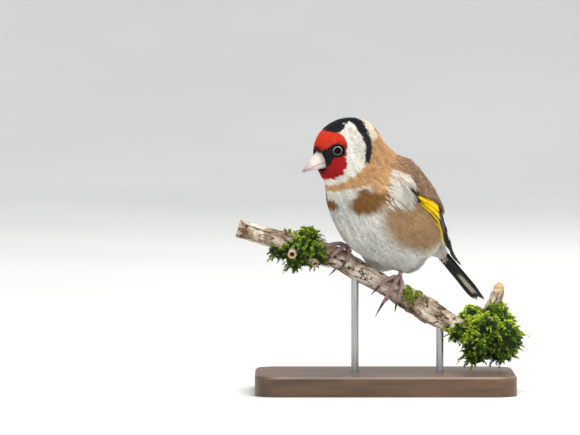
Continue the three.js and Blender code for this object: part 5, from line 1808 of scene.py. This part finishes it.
class GOLDFINCH_OT_perch(bpy.types.Operator):
    """Build the branch, its stub and its twigs"""

    bl_idname = "goldfinch.perch"
    bl_label = "Branch"

    def execute(self, context):
        build_branch()
        build_stub()
        for n, (start, end, size) in enumerate(TWIGS):
            build_twig(f"twig_end_{n + 1}", start, end, size)
        return {"FINISHED"}


class GOLDFINCH_OT_moss(bpy.types.Operator):
    """Build the moss cushions"""

    bl_idname = "goldfinch.moss"
    bl_label = "Moss"

    def execute(self, context):
        build_moss("moss_left", 420, 21)
        build_moss("moss_end", 860, 22)
        build_patch()
        return {"FINISHED"}


class GOLDFINCH_OT_stand(bpy.types.Operator):
    """Finish the display stand"""

    bl_idname = "goldfinch.stand"
    bl_label = "Stand"

    def execute(self, context):
        build_stand()
        return {"FINISHED"}


class GOLDFINCH_OT_stage(bpy.types.Operator):
    """Build the floor, the lights and the camera"""

    bl_idname = "goldfinch.stage"
    bl_label = "Stage"

    def execute(self, context):
        build_floor()
        build_lights()
        build_camera()
        return {"FINISHED"}


OPERATORS = (GOLDFINCH_OT_skin, GOLDFINCH_OT_coat, GOLDFINCH_OT_wings, GOLDFINCH_OT_tail, GOLDFINCH_OT_eyes,
             GOLDFINCH_OT_bill, GOLDFINCH_OT_feet, GOLDFINCH_OT_perch, GOLDFINCH_OT_moss, GOLDFINCH_OT_stand,
             GOLDFINCH_OT_stage)


class GOLDFINCH_PT_panel(bpy.types.Panel):
    """The goldfinch's pieces and settings"""

    bl_label = "Goldfinch"
    bl_idname = "GOLDFINCH_PT_panel"
    bl_space_type = "VIEW_3D"
    bl_region_type = "UI"
    bl_category = "Goldfinch"

    def draw(self, context):
        """List the pieces, then the settings."""
        for operator in OPERATORS:
            self.layout.operator(operator.bl_idname)
        for key in GoldfinchSettings.__annotations__:
            self.layout.prop(context.scene.goldfinch, key)


CLASSES = (GoldfinchSettings, *OPERATORS, GOLDFINCH_PT_panel)


def register():
    """Register the classes and the settings."""
    for one in CLASSES:
        bpy.utils.register_class(one)
    bpy.types.Scene.goldfinch = bpy.props.PointerProperty(type=GoldfinchSettings)


def unregister():
    """Remove the settings and the classes."""
    del bpy.types.Scene.goldfinch
    for one in reversed(CLASSES):
        bpy.utils.unregister_class(one)


def main():
    """Build every piece."""
    register()
    for operator in OPERATORS:
        family, name = operator.bl_idname.split(".")
        getattr(getattr(bpy.ops, family), name)()


if __name__ == "__main__":
    main()
